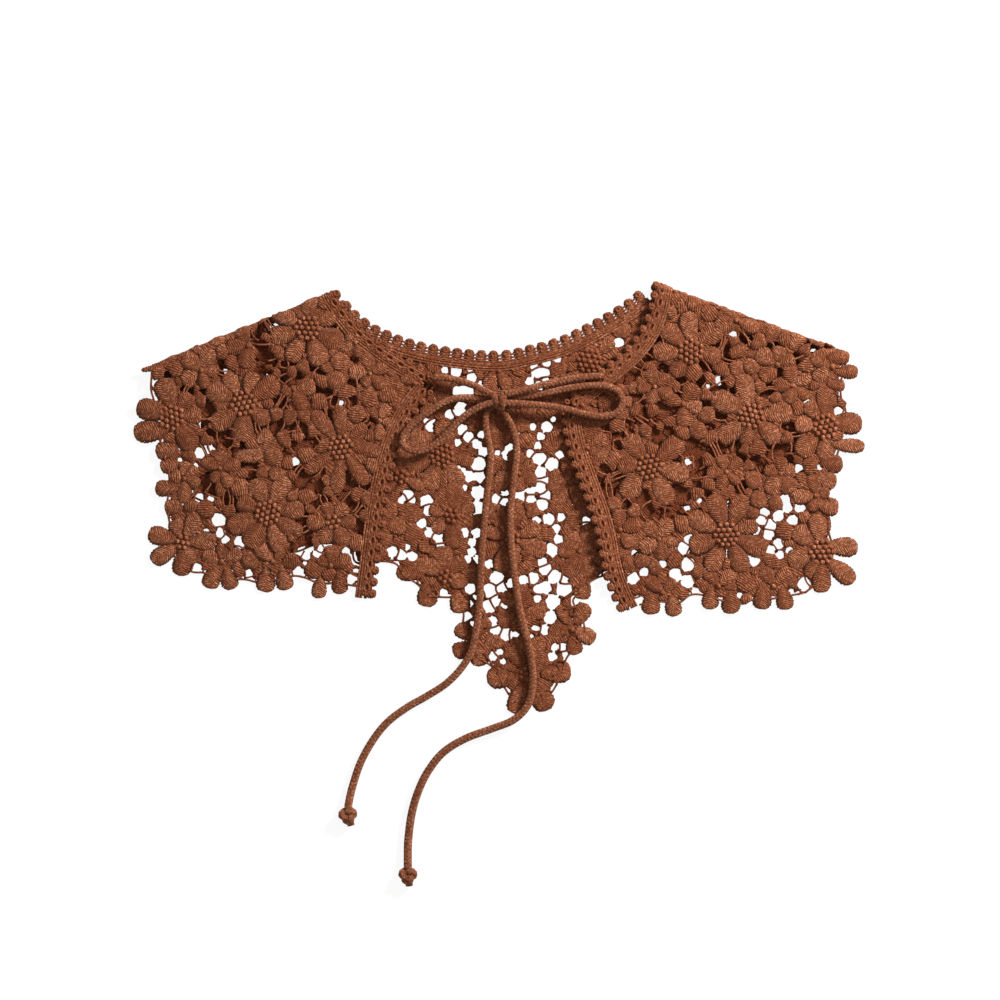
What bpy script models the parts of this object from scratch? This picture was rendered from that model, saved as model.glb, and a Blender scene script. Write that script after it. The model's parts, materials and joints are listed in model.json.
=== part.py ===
"""A flower-lace capelet, folded over at both shoulders and laid flat, its cord tied in a bow.

All lengths are millimetres until metres() places them in the scene. +X runs to the right, +Y
towards the neck and +Z up from the surface that the capelet lies on, which is at Z = 0.
The back panel lies on that surface. Each front lies on the back, turns over its shoulder fold
and meets the back's shoulder edge underneath.
"""

import math
from collections import namedtuple

import bmesh
import bpy
import numpy as np
from mathutils import Vector
from mathutils.geometry import delaunay_2d_cdt

# Driving dimensions
LACE = 2.0  # thickness of the lace wall
SEAM = 0.3  # clear gap between neighbouring pieces
TRIM = 11.5  # neck and front trims, from picot tip to inner border
PICOT_PITCH = 7.6
PICOT_HEIGHT = 3.4
FOLD_RADIUS = 2.7  # from the middle of the rolled wall to the roll's axis
FOLD_LAP = 4.0  # how far a front runs back under itself, past the roll
FOLD_SWELL = 22.0  # how far into the front the roll lifts it
CORD = 4.8  # diameter of the tie cord

# Heights of the middle of a wall
BACK_LEVEL = LACE / 2
FRONT_LEVEL = 3.5  # a front where it lies on the back
HEM_LEVEL = 1.2  # a front where it hangs past the back and comes down
HEM_DROP_START = 6.0  # how far past the back's edge a front starts to come down
HEM_DROP_END = 24.0  # and where it is down

# Mesh sizes
SPAN_POINTS = 24  # points on each span of a smooth curve before it is read at even steps
CURVE_STEP = 1.6  # outline points before thinning
THINNING = 0.35  # how far a thinned outline may be from its curve
PLAIN_STEP = 7.0  # outline points on an edge with no scallops
SHORTEST_SIDE = 0.2  # outline points closer than this are made one
CELL = 15.0  # spacing of the points inside a panel
RIM_CLEARANCE = 2.0  # from those points to the outline
CORD_STEP = 10.0  # points along the strings and the bow's loops
TAIL_STEP = 15.0  # points along the straighter tails
FINE_STEP = 0.4  # steps in which a route is trimmed at its knots
KNOT_CLEARANCE = 1.5  # from a knot's surface to the middle of a cord's flat end

# A picot's outline: share of the pitch along the edge, share of the picot's height
PICOT_PROFILE = [(0.0, 0.0), (0.16, 0.25), (0.3, 0.88), (0.5, 1.0), (0.7, 0.88), (0.84, 0.25)]

# The shoulder folds, as the garment's outer edge from the neck point to the sleeve-side end.
FOLD_LEFT = ((-102.7, 132.8), (-227.5, 82.2))
FOLD_RIGHT = ((97.0, 138.6), (220.5, 93.1))

# Trim edges through the picot tips: x, y
BACK_NECK = [
    (-102.7, 132.8), (-87.0, 115.5), (-67.5, 104.6), (-47.0, 98.2), (-23.4, 94.4), (0.0, 92.8),
    (19.0, 96.4), (40.0, 102.5), (62.0, 113.5), (80.0, 124.5), (97.0, 138.6),
]
FRONT_NECK_LEFT = [
    (-102.7, 132.2), (-95.0, 120.6), (-85.4, 109.1), (-74.6, 100.2), (-61.8, 91.2),
    (-47.0, 82.4), (-33.6, 71.4),
]
FRONT_NECK_RIGHT = [
    (98.2, 136.6), (95.7, 121.9), (90.6, 108.5), (81.6, 96.3), (70.1, 86.1), (58.6, 76.5),
    (47.0, 67.5), (39.4, 58.6),
]
FRONT_EDGE_LEFT = [
    (-33.6, 71.4), (-43.5, 62.0), (-52.0, 51.5), (-58.8, 38.7), (-64.0, 24.0), (-68.0, 6.7),
    (-71.0, -9.3), (-73.5, -27.2), (-75.6, -44.5), (-78.6, -66.9),
]
FRONT_EDGE_RIGHT = [
    (39.4, 58.6), (39.6, 47.0), (41.3, 35.5), (44.8, 22.7), (49.4, 9.9), (54.1, -2.9),
    (58.6, -15.7), (61.9, -28.5), (64.2, -41.3), (67.2, -53.5), (71.6, -65.0), (77.1, -76.4),
]

# Hem and side edges where the petals start: x, y
FRONT_HEM_LEFT = [
    (-91.0, -58.0), (-103.0, -53.5), (-133.4, -50.5), (-165.4, -49.0), (-188.0, -46.0),
    (-203.0, -37.0), (-210.0, -22.0), (-211.0, -6.0), (-209.0, 16.0), (-209.5, 36.0),
    (-213.0, 55.0), (-218.0, 71.0), (-222.0, 90.0),
]
FRONT_HEM_RIGHT = [
    (90.0, -70.0), (103.0, -66.0), (129.0, -64.3), (167.0, -63.5), (194.0, -56.0),
    (210.0, -42.0), (214.0, -16.0), (213.0, 4.0), (216.0, 29.0), (215.0, 54.0),
    (216.0, 74.0), (215.0, 100.0),
]
BACK_HEM = [
    (214.0, 100.0), (213.5, 76.0), (212.5, 50.0), (211.0, 24.0), (199.0, 8.0), (176.0, 0.5),
    (152.0, -4.0), (128.0, -11.0), (106.0, -22.0), (88.0, -37.0), (72.0, -49.0), (57.0, -58.0),
    (48.0, -70.0), (45.0, -84.0), (38.0, -97.0), (31.0, -109.0), (23.0, -120.0),
    (9.0, -122.0), (0.0, -111.0), (-8.0, -98.0), (-13.0, -84.0), (-19.0, -70.0),
    (-31.0, -61.0), (-46.0, -56.0), (-61.0, -47.0), (-78.0, -39.0), (-101.0, -28.0),
    (-139.0, -12.0), (-172.0, -5.0), (-196.0, 0.0), (-210.0, 17.0), (-213.0, 48.0),
    (-216.0, 68.0), (-219.0, 90.0),
]

# Petals that stand out past those edges: x and y of the tip, width
PETALS_FRONT_LEFT = [
    (-102.0, -63.5, 14), (-116.0, -65.0, 13), (-135.5, -60.5, 13), (-150.7, -61.0, 14),
    (-170.0, -59.2, 14), (-184.6, -58.0, 13), (-202.5, -52.0, 14), (-221.8, -40.0, 14),
    (-224.3, -23.0, 14), (-213.5, -7.0, 12), (-219.0, 5.0, 13), (-215.4, 21.0, 13),
    (-233.7, 38.0, 15), (-231.4, 56.0, 15),
]
PETALS_FRONT_RIGHT = [
    (97.0, -75.0, 14), (111.0, -78.4, 14), (133.4, -73.0, 14), (148.2, -76.0, 15),
    (168.6, -73.0, 14), (184.0, -72.0, 14), (206.0, -62.0, 16), (227.5, -54.0, 15),
    (230.1, -32.0, 15), (217.8, -8.0, 13), (217.5, 10.0, 12), (233.7, 31.0, 14),
    (232.6, 46.0, 16), (219.8, 66.0, 12), (228.8, 79.0, 13), (223.0, 92.0, 12),
]
PETALS_BACK = [
    (60.0, -64.5, 13), (58.0, -77.0, 13), (61.0, -91.0, 13), (50.0, -100.0, 12),
    (45.0, -113.0, 14), (35.0, -134.0, 15), (15.0, -138.6, 15), (-4.5, -121.0, 13),
    (-13.0, -106.0, 12), (-27.0, -101.0, 13), (-26.0, -84.0, 12), (-28.0, -73.5, 12),
    (-46.0, -71.5, 15), (-62.5, -56.0, 14),
]

# Soft ridges in the fronts: x and y of one end, x and y of the other, half width, height
RIDGES = [
    (50.0, 14.0, 66.0, -44.0, 13.0, 2.6),
    (112.0, 88.0, 186.0, 38.0, 20.0, 1.6),
    (150.0, -6.0, 196.0, -22.0, 15.0, 1.1),
    (-62.0, 10.0, -72.0, -34.0, 11.0, 1.4),
    (-112.0, 74.0, -176.0, 46.0, 20.0, 1.5),
    (-132.0, -2.0, -176.0, 12.0, 15.0, 1.0),
]

# The bow's knot and the stopper knots: centre, then half the size along each axis
Knot = namedtuple("Knot", "centre half")
BOW_KNOT = Knot((0.0, 60.8, 7.7), (6.0, 5.6, 5.1))
TAIL_KNOT_LEFT = Knot((-96.3, -204.0, 4.9), (6.6, 6.6, 4.8))
TAIL_KNOT_RIGHT = Knot((-57.9, -242.4, 4.9), (5.8, 6.4, 4.8))

# Routes of the cord's stretches: x, y, z
STRING_LEFT = [
    (-41.0, 75.6, 7.3), (-34.0, 75.0, 7.3), (-25.5, 73.6, 7.6), (-17.5, 71.0, 8.2),
    (-11.0, 68.0, 9.4), (-4.0, 64.4, 10.3),
]
STRING_RIGHT = [
    (66.5, 76.4, 7.3), (58.0, 76.0, 7.3), (48.5, 74.9, 7.5), (39.5, 73.3, 8.2),
    (31.0, 71.4, 9.2), (22.0, 69.0, 9.9), (13.0, 66.6, 10.3), (4.0, 64.6, 10.4),
]
BOW_LOOP_LEFT = [
    (-3.0, 61.2, 6.0), (-12.0, 62.2, 6.2), (-20.0, 62.6, 6.8), (-28.0, 62.0, 7.3),
    (-35.5, 59.2, 7.6), (-42.0, 55.0, 7.7), (-49.0, 50.2, 7.7), (-55.8, 44.8, 7.7),
    (-60.4, 38.8, 7.7), (-61.0, 32.8, 7.7), (-56.8, 29.0, 7.7), (-50.0, 28.4, 7.7),
    (-42.6, 31.2, 7.7), (-35.0, 37.4, 7.7), (-28.5, 44.6, 7.8), (-22.0, 50.6, 8.2),
    (-15.5, 54.8, 9.0), (-9.5, 57.6, 9.7), (-3.0, 59.8, 9.9),
]
BOW_LOOP_RIGHT = [
    (3.0, 60.8, 5.4), (13.5, 62.6, 5.5), (23.0, 64.0, 5.9), (33.0, 66.0, 6.6),
    (43.0, 68.2, 7.3), (53.4, 69.8, 7.7), (63.5, 70.4, 7.7), (71.6, 69.2, 7.7),
    (77.2, 65.6, 7.7), (79.2, 60.2, 7.7), (77.0, 54.6, 7.7), (71.6, 51.2, 7.7),
    (64.0, 50.6, 7.7), (54.6, 52.2, 7.8), (44.5, 55.0, 8.1), (33.0, 57.0, 8.7),
    (21.0, 58.2, 9.2), (11.0, 58.8, 9.3), (3.0, 59.2, 9.3),
]
TAIL_LEFT = [
    (-3.0, 59.0, 5.2), (-7.2, 53.4, 4.9), (-8.2, 46.4, 4.8), (-7.0, 38.0, 4.8), (-5.2, 28.5, 4.8),
    (-5.2, 19.0, 4.8), (-6.6, 8.0, 4.8), (-8.0, -5.0, 4.8), (-9.3, -20.8, 4.8),
    (-10.6, -35.0, 4.8), (-11.3, -51.0, 4.8), (-12.0, -67.0, 4.8), (-13.8, -83.0, 4.8),
    (-17.0, -98.6, 4.8), (-23.8, -110.4, 4.8), (-33.6, -120.4, 3.7), (-46.0, -128.4, 2.6),
    (-59.2, -136.0, 2.5), (-71.4, -145.4, 2.5), (-81.0, -157.6, 2.5), (-88.6, -171.8, 2.5),
    (-93.6, -187.0, 2.6), (-95.8, -197.0, 4.0), (-96.2, -201.0, 4.6),
]
TAIL_RIGHT = [
    (1.6, 58.4, 5.2), (4.6, 51.8, 4.9), (8.4, 44.6, 4.8), (11.0, 36.0, 4.8), (11.6, 26.5, 4.8),
    (10.4, 15.0, 4.8), (8.8, 2.0, 4.8), (7.7, -12.0, 4.8), (7.9, -27.0, 4.8), (9.2, -42.0, 4.8),
    (11.0, -56.0, 4.8), (13.0, -70.0, 4.8), (16.2, -84.0, 4.8), (20.0, -98.0, 4.8),
    (21.8, -111.0, 4.8), (21.6, -123.5, 4.8), (18.2, -135.0, 4.8), (9.0, -143.8, 4.8),
    (-5.0, -149.4, 3.6), (-21.0, -155.4, 2.6), (-35.0, -164.0, 2.5), (-44.8, -176.0, 2.5),
    (-51.4, -189.4, 2.5), (-55.6, -204.0, 2.5), (-57.7, -220.0, 2.5), (-58.0, -231.0, 3.2),
    (-57.9, -239.0, 4.6),
]

# Colours as Blender's linear values
LACE_BACK_COLOUR = (0.180, 0.064, 0.031)
LACE_FRONT_COLOUR = (0.220, 0.080, 0.038)
TRIM_COLOUR = (0.200, 0.070, 0.033)
CORD_COLOUR = (0.235, 0.085, 0.045)
COTTON_ROUGHNESS = 0.9


# Lines in the plan


def along(line):
    """Arc length from the start of a line to each of its points."""
    return np.concatenate([[0.0], np.cumsum(np.linalg.norm(np.diff(line, axis=0), axis=1))])


def spaced(line, step):
    """The line read again at even steps of about this length."""
    run = along(line)
    places = np.linspace(0, run[-1], max(2, round(run[-1] / step) + 1))
    return np.stack([np.interp(places, run, column) for column in line.T], axis=1)


def smooth(points, step):
    """Even points on the Catmull-Rom curve through the given ones."""
    given = np.array(points, float)
    ends = 2 * given[0] - given[1], 2 * given[-1] - given[-2]
    ringed = np.vstack([ends[0], given, ends[1]])
    t = np.linspace(0, 1, SPAN_POINTS, endpoint=False)[:, None]
    spans = [
        b + t / 2 * (c - a + t * (2 * a - 5 * b + 4 * c - d + t * (3 * b - a - 3 * c + d)))
        for a, b, c, d in zip(ringed, ringed[1:], ringed[2:], ringed[3:])
    ]
    return spaced(np.vstack([*spans, given[-1]]), step)


def right_of(line):
    """Unit normals on the right of a line's run."""
    ahead = np.gradient(line, axis=0)
    ahead /= np.linalg.norm(ahead, axis=1, keepdims=True)
    return np.stack([ahead[:, 1], -ahead[:, 0]], axis=1)


def thinned(line, tolerance=THINNING):
    """Only the points that keep the line within the tolerance (Douglas-Peucker)."""
    if len(line) < 3:
        return line
    chord = line[-1] - line[0]
    across = np.array([-chord[1], chord[0]]) / max(np.linalg.norm(chord), 1e-9)
    far = np.abs((line - line[0]) @ across)
    worst = int(far.argmax())
    if far[worst] <= tolerance:
        return line[[0, -1]]
    return np.vstack([thinned(line[: worst + 1], tolerance)[:-1], thinned(line[worst:], tolerance)])


def petalled(edge, petals, outward):
    """The edge with a half-ellipse lobe for each petal, drawn out along the edge's normals."""
    base = smooth(edge, CURVE_STEP)
    run = along(base)
    reach = np.zeros(len(base))
    for x, y, width in petals:
        gap = np.linalg.norm(base - (x, y), axis=1)
        place = run[gap.argmin()]
        lobe = 1 - ((run - place) / (width / 2)) ** 2
        reach = np.maximum(reach, gap.min() * np.sqrt(np.clip(lobe, 0, None)))
    return thinned(base + outward * right_of(base) * reach[:, None])


def picoted(notches, outward):
    """The line through the notches with a rounded picot standing out between each two."""
    run = along(notches)
    count = round(run[-1] / PICOT_PITCH)
    share, rise = np.array(PICOT_PROFILE).T
    phase = np.append(np.add.outer(np.arange(count), share).ravel(), count) / count * run[-1]
    reach = np.append(np.tile(rise, count), 0.0) * PICOT_HEIGHT
    normal = right_of(notches)
    place = np.stack([np.interp(phase, run, column) for column in notches.T], axis=1)
    facing = np.stack([np.interp(phase, run, column) for column in normal.T], axis=1)
    return place + outward * facing * reach[:, None]


# The shoulder folds


class Fold:
    """A straight fold: its line in the plan, the way into the panels, and the roll round it."""

    def __init__(self, neck, end):
        neck, end = np.array(neck), np.array(end)
        run = (end - neck) / np.linalg.norm(end - neck)
        down = np.array([run[1], -run[0]])
        self.inward = down if down[1] < 0 else -down
        self.point = neck + self.inward * (FOLD_RADIUS + LACE / 2)

    def inside(self, points):
        """Distance into the panels from the line where the roll starts."""
        return (points - self.point) @ self.inward

    def cut(self, line, distance=0.0):
        """The part of a line that is at least this far inside."""
        inside = self.inside(line) - distance
        kept = line[inside >= 0]
        crossing = np.flatnonzero((inside[:-1] < 0) != (inside[1:] < 0))
        if len(crossing) == 0:
            return kept
        i = crossing[0]
        share = inside[i] / (inside[i] - inside[i + 1])
        at = line[i] + share * (line[i + 1] - line[i])
        return np.vstack([at, kept] if inside[0] < 0 else [kept, at])

    def rows(self):
        """Distances outside the line where the wall bends, and where it ends under the roll."""
        half_turn = math.pi * FOLD_RADIUS
        return [half_turn * k / 4 for k in range(1, 5)] + [half_turn + FOLD_LAP]

    def over(self, start):
        """Pattern points from one on the line, straight out over the fold to the wall's end."""
        return np.array([start - self.inward * row for row in self.rows()])


# Heights of the fronts


def distance_outside(points, outline):
    """How far each point is outside a closed outline, and 0 inside it."""
    start, end = outline, np.roll(outline, -1, axis=0)
    side = end - start
    to_point = points[:, None] - start
    share = np.clip((to_point * side).sum(2) / (side**2).sum(1), 0, 1)
    near = np.linalg.norm(to_point - share[..., None] * side, axis=2).min(axis=1)
    above = (start[:, 1] > points[:, None, 1]) != (end[:, 1] > points[:, None, 1])
    rise = np.where(side[:, 1] == 0, 1e-9, side[:, 1])
    crossing = start[:, 0] + (points[:, None, 1] - start[:, 1]) * side[:, 0] / rise
    inside = (above & (points[:, None, 0] < crossing)).sum(axis=1) % 2 == 1
    return np.where(inside, 0.0, near)


def ridge_lift(points):
    """Sum of the soft ridges: a bell across each, fading out past its ends."""
    lift = np.zeros(len(points))
    for x1, y1, x2, y2, half_width, height in RIDGES:
        start, side = np.array([x1, y1]), np.array([x2 - x1, y2 - y1])
        share = np.clip((points - start) @ side / (side @ side), 0, 1)
        away = np.linalg.norm(points - start - share[:, None] * side, axis=1)
        lift += height * np.exp(-((away / half_width) ** 2))
    return lift


def front_height(points, fold, back_outline):
    """Middle of a front's wall: on the back, down past its hem, and up to the fold's roll."""
    past = distance_outside(points, back_outline)
    t = np.clip((past - HEM_DROP_START) / (HEM_DROP_END - HEM_DROP_START), 0, 1)
    level = FRONT_LEVEL + (HEM_LEVEL - FRONT_LEVEL) * t * t * (3 - 2 * t)
    swell = np.exp(-((np.clip(fold.inside(points), 0, None) / FOLD_SWELL) ** 2))
    top = BACK_LEVEL + 2 * FOLD_RADIUS
    return level + (top - level) * swell + ridge_lift(points) * (1 - swell)


def draped(pattern, fold, back_outline):
    """Pattern points laid in space: level inside the fold's line, round the roll, back under."""
    inside = fold.inside(pattern)
    foot = pattern - inside[:, None] * fold.inward
    turn = np.clip(-inside / FOLD_RADIUS, 0, math.pi)
    under = np.clip(-inside - math.pi * FOLD_RADIUS, 0, None)
    plan_inside = np.clip(inside, 0, None) + under - FOLD_RADIUS * np.sin(turn)
    plan = foot + plan_inside[:, None] * fold.inward
    rolled = BACK_LEVEL + FOLD_RADIUS * (1 + np.cos(turn))
    height = np.where(inside > 0, front_height(plan, fold, back_outline), rolled)
    return np.column_stack([plan, height])


def laid(pattern):
    """Pattern points of the back, which lies level on the surface."""
    return np.column_stack([pattern, np.full(len(pattern), BACK_LEVEL)])


# Solids


def metres(points):
    return [Vector(point) * 0.001 for point in np.asarray(points, float)]


def finished(name, data, colour):
    """Links an object with its own woven or knitted cotton finish."""
    material = bpy.data.materials.new(name)
    material.use_nodes = True
    shader = material.node_tree.nodes["Principled BSDF"]
    shader.inputs["Base Color"].default_value = (*colour, 1.0)
    shader.inputs["Roughness"].default_value = COTTON_ROUGHNESS
    shader.inputs["Metallic"].default_value = 0.0
    data.materials.append(material)
    made = bpy.data.objects.new(name, data)
    bpy.context.scene.collection.objects.link(made)
    return made


def inner_points(outline, fold):
    """A grid of points inside the outline, with a row along each bend of the fold."""
    low, high = outline.min(axis=0), outline.max(axis=0)
    grid = np.stack(np.meshgrid(*[np.arange(a, b, CELL) for a, b in zip(low, high)]), axis=-1)
    points = grid.reshape(-1, 2)
    if fold is not None:
        points = points[fold.inside(points) > CELL * 0.6]
        run = np.array([-fold.inward[1], fold.inward[0]])
        places = np.arange(-2 * CELL, 12 * CELL, CELL / 2)
        for row in [0.0, *fold.rows()[:-1]]:
            ends = [fold.point - row * fold.inward + sign * place * run
                    for place in places for sign in (-1, 1)]
            points = np.vstack([points, ends])
    inside = distance_outside(points, outline) == 0
    points = np.unique(np.round(points[inside], 4), axis=0)
    side = np.linalg.norm(points[:, None] - outline, axis=2).min(axis=1)
    return points[side > RIM_CLEARANCE]


def lace_wall(name, outline, place, colour, fold=None):
    """A wall of lace: the outline filled with triangles, laid in space and thickened."""
    keep = np.linalg.norm(outline - np.roll(outline, 1, axis=0), axis=1) > SHORTEST_SIDE
    outline = outline[keep]
    pattern = np.vstack([outline, inner_points(outline, fold)])
    count = len(outline)
    rim = [(i, (i + 1) % count) for i in range(count)]
    filled = delaunay_2d_cdt([Vector(p) for p in pattern], rim, [], 1, 1e-4)
    flat, faces = np.array([tuple(v) for v in filled[0]]), filled[2]
    mesh = bpy.data.meshes.new(name)
    mesh.from_pydata(metres(place(flat)), [], faces)
    made = finished(name, mesh, colour)
    wall = made.modifiers.new("Wall", "SOLIDIFY")
    wall.thickness = LACE * 0.001
    wall.offset = 0.0
    wall.use_even_offset = True
    return made


def round_knot(name, knot):
    """A pulled-tight knot as a squat ball."""
    mesh = bpy.data.meshes.new(name)
    ball = bmesh.new()
    bmesh.ops.create_uvsphere(ball, u_segments=16, v_segments=10, radius=1.0)
    bmesh.ops.scale(ball, vec=metres([knot.half])[0], verts=ball.verts)
    bmesh.ops.translate(ball, vec=metres([knot.centre])[0], verts=ball.verts)
    ball.to_mesh(mesh)
    ball.free()
    mesh.shade_smooth()
    return finished(name, mesh, CORD_COLOUR)


def outside_knots(route, knots):
    """The stretch of a route that is clear of the knots at its ends."""
    fine = smooth(route, FINE_STEP)
    for knot in knots:
        grown = np.array(knot.half) + KNOT_CLEARANCE
        fine = fine[np.linalg.norm((fine - knot.centre) / grown, axis=1) > 1]
    return fine


def cord(name, route, knots, step=CORD_STEP):
    """A stretch of the round cord, from one knot or seam to the next."""
    curve = bpy.data.curves.new(name, "CURVE")
    curve.dimensions = "3D"
    curve.bevel_depth = CORD / 2 * 0.001
    curve.bevel_resolution = 2
    curve.use_fill_caps = True
    points = metres(spaced(outside_knots(route, knots), step))
    spline = curve.splines.new("POLY")
    spline.points.add(len(points) - 1)
    for node, point in zip(spline.points, points):
        node.co = (*point, 1.0)
    return finished(name, curve, CORD_COLOUR)


# Pieces


def border(neck, edge, inward, distance, seam=0.0):
    """The neck and front edges moved inwards, up to the mitre at the front's corner.

    The mitre halves the corner. A seam keeps each line half its width away from it.
    """
    neck_normal, edge_normal = inward * right_of(neck), inward * right_of(edge)
    halving = neck_normal[-1] + edge_normal[0]
    halving /= 1 + neck_normal[-1] @ edge_normal[0]
    corner = neck[-1] + distance * halving
    across = np.array([-halving[1], halving[0]]) / np.linalg.norm(halving)
    across *= np.sign(across @ (edge[1] - edge[0]))
    moved_neck = neck + distance * neck_normal
    moved_edge = edge + distance * edge_normal
    moved_neck = moved_neck[(moved_neck - corner) @ across < -0.5]
    moved_edge = moved_edge[(moved_edge - corner) @ across > 0.5]
    gap = across * seam / 2
    return np.vstack([moved_neck, corner - gap]), np.vstack([corner + gap, moved_edge])


def front(side, inward, fold_ends, neck, edge, hem, petals, back_outline):
    """One front: its panel, its neck trim and its front-edge trim."""
    fold = Fold(*fold_ends)
    lines = smooth(neck, PLAIN_STEP / 2), smooth(edge, PLAIN_STEP / 2), inward

    def place(pattern):
        return draped(pattern, fold, back_outline)

    notch_neck, notch_edge = border(*lines, PICOT_HEIGHT, SEAM)
    inner_neck, inner_edge = border(*lines, TRIM, SEAM)
    notch_neck, inner_neck = fold.cut(notch_neck), fold.cut(inner_neck)
    neck_trim = np.vstack([
        fold.over(notch_neck[0])[::-1],
        picoted(notch_neck, -inward),
        spaced(inner_neck, PLAIN_STEP)[::-1],
        fold.over(inner_neck[0]),
    ])
    edge_trim = np.vstack([picoted(notch_edge, -inward), spaced(inner_edge, PLAIN_STEP)[::-1]])
    lace_wall(f"front_{side}_neck_trim", neck_trim, place, TRIM_COLOUR, fold)
    lace_wall(f"front_{side}_edge_trim", edge_trim, place, TRIM_COLOUR)

    # The panel starts one seam inside the trims.
    panel_neck, panel_edge = border(*lines, TRIM + SEAM)
    panel_neck = fold.cut(panel_neck)
    outer = fold.cut(petalled(hem, petals, -inward))
    panel = np.vstack([
        fold.over(panel_neck[0])[::-1],
        spaced(panel_neck, PLAIN_STEP),
        spaced(panel_edge, PLAIN_STEP),
        outer,
        fold.over(outer[-1]),
    ])
    lace_wall(f"front_{side}_panel", panel, place, LACE_FRONT_COLOUR, fold)


def back():
    """The back panel and its neck trim, cut short of the wall that comes round each fold."""
    left, right = Fold(*FOLD_LEFT), Fold(*FOLD_RIGHT)
    short = FOLD_LAP + SEAM

    def between_folds(line):
        return right.cut(left.cut(line, short), short)

    neck_line = smooth(BACK_NECK, PLAIN_STEP / 2)
    notches = between_folds(neck_line + PICOT_HEIGHT * right_of(neck_line))
    inner = between_folds(neck_line + TRIM * right_of(neck_line))
    trim = np.vstack([picoted(notches, -1), spaced(inner, PLAIN_STEP)[::-1]])
    lace_wall("back_neck_trim", trim, laid, TRIM_COLOUR)
    top = between_folds(neck_line + (TRIM + SEAM) * right_of(neck_line))
    hem = between_folds(petalled(BACK_HEM, PETALS_BACK, -1))
    outline = np.vstack([spaced(top, PLAIN_STEP), hem])
    lace_wall("back_panel", outline, laid, LACE_BACK_COLOUR)
    return outline


def tie():
    """The cord: a string from each front's corner, the bow and the two knotted tails."""
    round_knot("bow_knot", BOW_KNOT)
    round_knot("tail_knot_left", TAIL_KNOT_LEFT)
    round_knot("tail_knot_right", TAIL_KNOT_RIGHT)
    cord("string_left", STRING_LEFT, [BOW_KNOT])
    cord("string_right", STRING_RIGHT, [BOW_KNOT])
    cord("bow_loop_left", BOW_LOOP_LEFT, [BOW_KNOT])
    cord("bow_loop_right", BOW_LOOP_RIGHT, [BOW_KNOT])
    cord("tail_left", TAIL_LEFT, [BOW_KNOT, TAIL_KNOT_LEFT], TAIL_STEP)
    cord("tail_right", TAIL_RIGHT, [BOW_KNOT, TAIL_KNOT_RIGHT], TAIL_STEP)


def main():
    for old in list(bpy.data.objects):
        bpy.data.objects.remove(old)
    back_outline = back()
    front("left", 1, FOLD_LEFT, FRONT_NECK_LEFT, FRONT_EDGE_LEFT, FRONT_HEM_LEFT,
          PETALS_FRONT_LEFT, back_outline)
    front("right", -1, FOLD_RIGHT, FRONT_NECK_RIGHT, FRONT_EDGE_RIGHT, FRONT_HEM_RIGHT,
          PETALS_FRONT_RIGHT, back_outline)
    tie()


main()
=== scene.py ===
"""A flower-lace capelet of brown guipure cotton, laid flat, its knitted cord tied in a bow.

All lengths below are millimetres until metres() turns them. +X runs to the right, +Y to the
neck and +Z up from the surface that the capelet lies on. A panel is worked out on its flat
pattern as petals, bobbled hearts and thin bars, and place() lays that pattern where the CAD
wall lies: level for the back, and round the shoulder fold and over the back for a front.
"""

import json
import math

import bpy
import numpy as np
from bpy.props import FloatProperty, FloatVectorProperty, IntProperty, PointerProperty
from bpy.types import Operator, Panel, PropertyGroup
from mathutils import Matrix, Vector
from mathutils.geometry import delaunay_2d_cdt
from mathutils.kdtree import KDTree

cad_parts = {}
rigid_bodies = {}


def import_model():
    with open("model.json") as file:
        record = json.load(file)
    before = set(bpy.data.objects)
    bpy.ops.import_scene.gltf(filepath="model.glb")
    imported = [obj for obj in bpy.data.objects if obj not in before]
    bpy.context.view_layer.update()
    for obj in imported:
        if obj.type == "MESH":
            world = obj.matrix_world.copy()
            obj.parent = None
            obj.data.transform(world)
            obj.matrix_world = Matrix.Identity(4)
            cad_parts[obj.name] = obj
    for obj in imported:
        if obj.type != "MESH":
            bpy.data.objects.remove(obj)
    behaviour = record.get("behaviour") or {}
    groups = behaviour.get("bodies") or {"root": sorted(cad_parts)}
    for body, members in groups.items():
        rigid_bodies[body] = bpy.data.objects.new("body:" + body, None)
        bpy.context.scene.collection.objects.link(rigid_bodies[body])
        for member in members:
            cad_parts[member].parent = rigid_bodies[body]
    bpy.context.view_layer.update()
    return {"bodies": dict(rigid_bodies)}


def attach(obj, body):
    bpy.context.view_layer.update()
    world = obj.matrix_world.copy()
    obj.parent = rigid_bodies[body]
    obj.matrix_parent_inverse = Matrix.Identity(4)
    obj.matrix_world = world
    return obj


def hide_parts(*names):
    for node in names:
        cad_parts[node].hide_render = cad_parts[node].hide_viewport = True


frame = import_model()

bl_info = {
    "name": "Flower-lace capelet",
    "version": (1, 0, 0),
    "blender": (4, 5, 0),
    "location": "3D View > Sidebar > Capelet",
    "description": "Builds a guipure lace capelet with a tied cord on its CAD frame",
    "category": "Object",
}

BODY = next(iter(frame["bodies"]))

# The part's own sizes
LACE = 2.0  # thickness of the lace wall
TRIM = 11.5  # neck and front trims, from picot tip to inner border
SEAM = 0.3  # clear gap between neighbouring pieces
PICOT_PITCH = 7.6
FOLD_RADIUS = 2.7
FOLD_LAP = 4.0
FOLD_SWELL = 22.0
BACK_LEVEL = LACE / 2
FRONT_LEVEL = 3.5
HEM_LEVEL = 1.2
HEM_DROP_START = 6.0
HEM_DROP_END = 24.0
CORD = 4.8

# Steps along the outlines, and where a panel's own edge runs in from its trims' tips
NECK_STEP = 3.5
HEM_STEP = 2.0
PART_HEM_STEP = 3.0
SHADOW_HEM_STEP = 4.0
PANEL_EDGE = TRIM + SEAM + 0.9

# The shoulder folds, from the neck point to the sleeve-side end
FOLD_LEFT = ((-102.7, 132.8), (-227.5, 82.2))
FOLD_RIGHT = ((97, 138.6), (220.5, 93.1))

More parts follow.
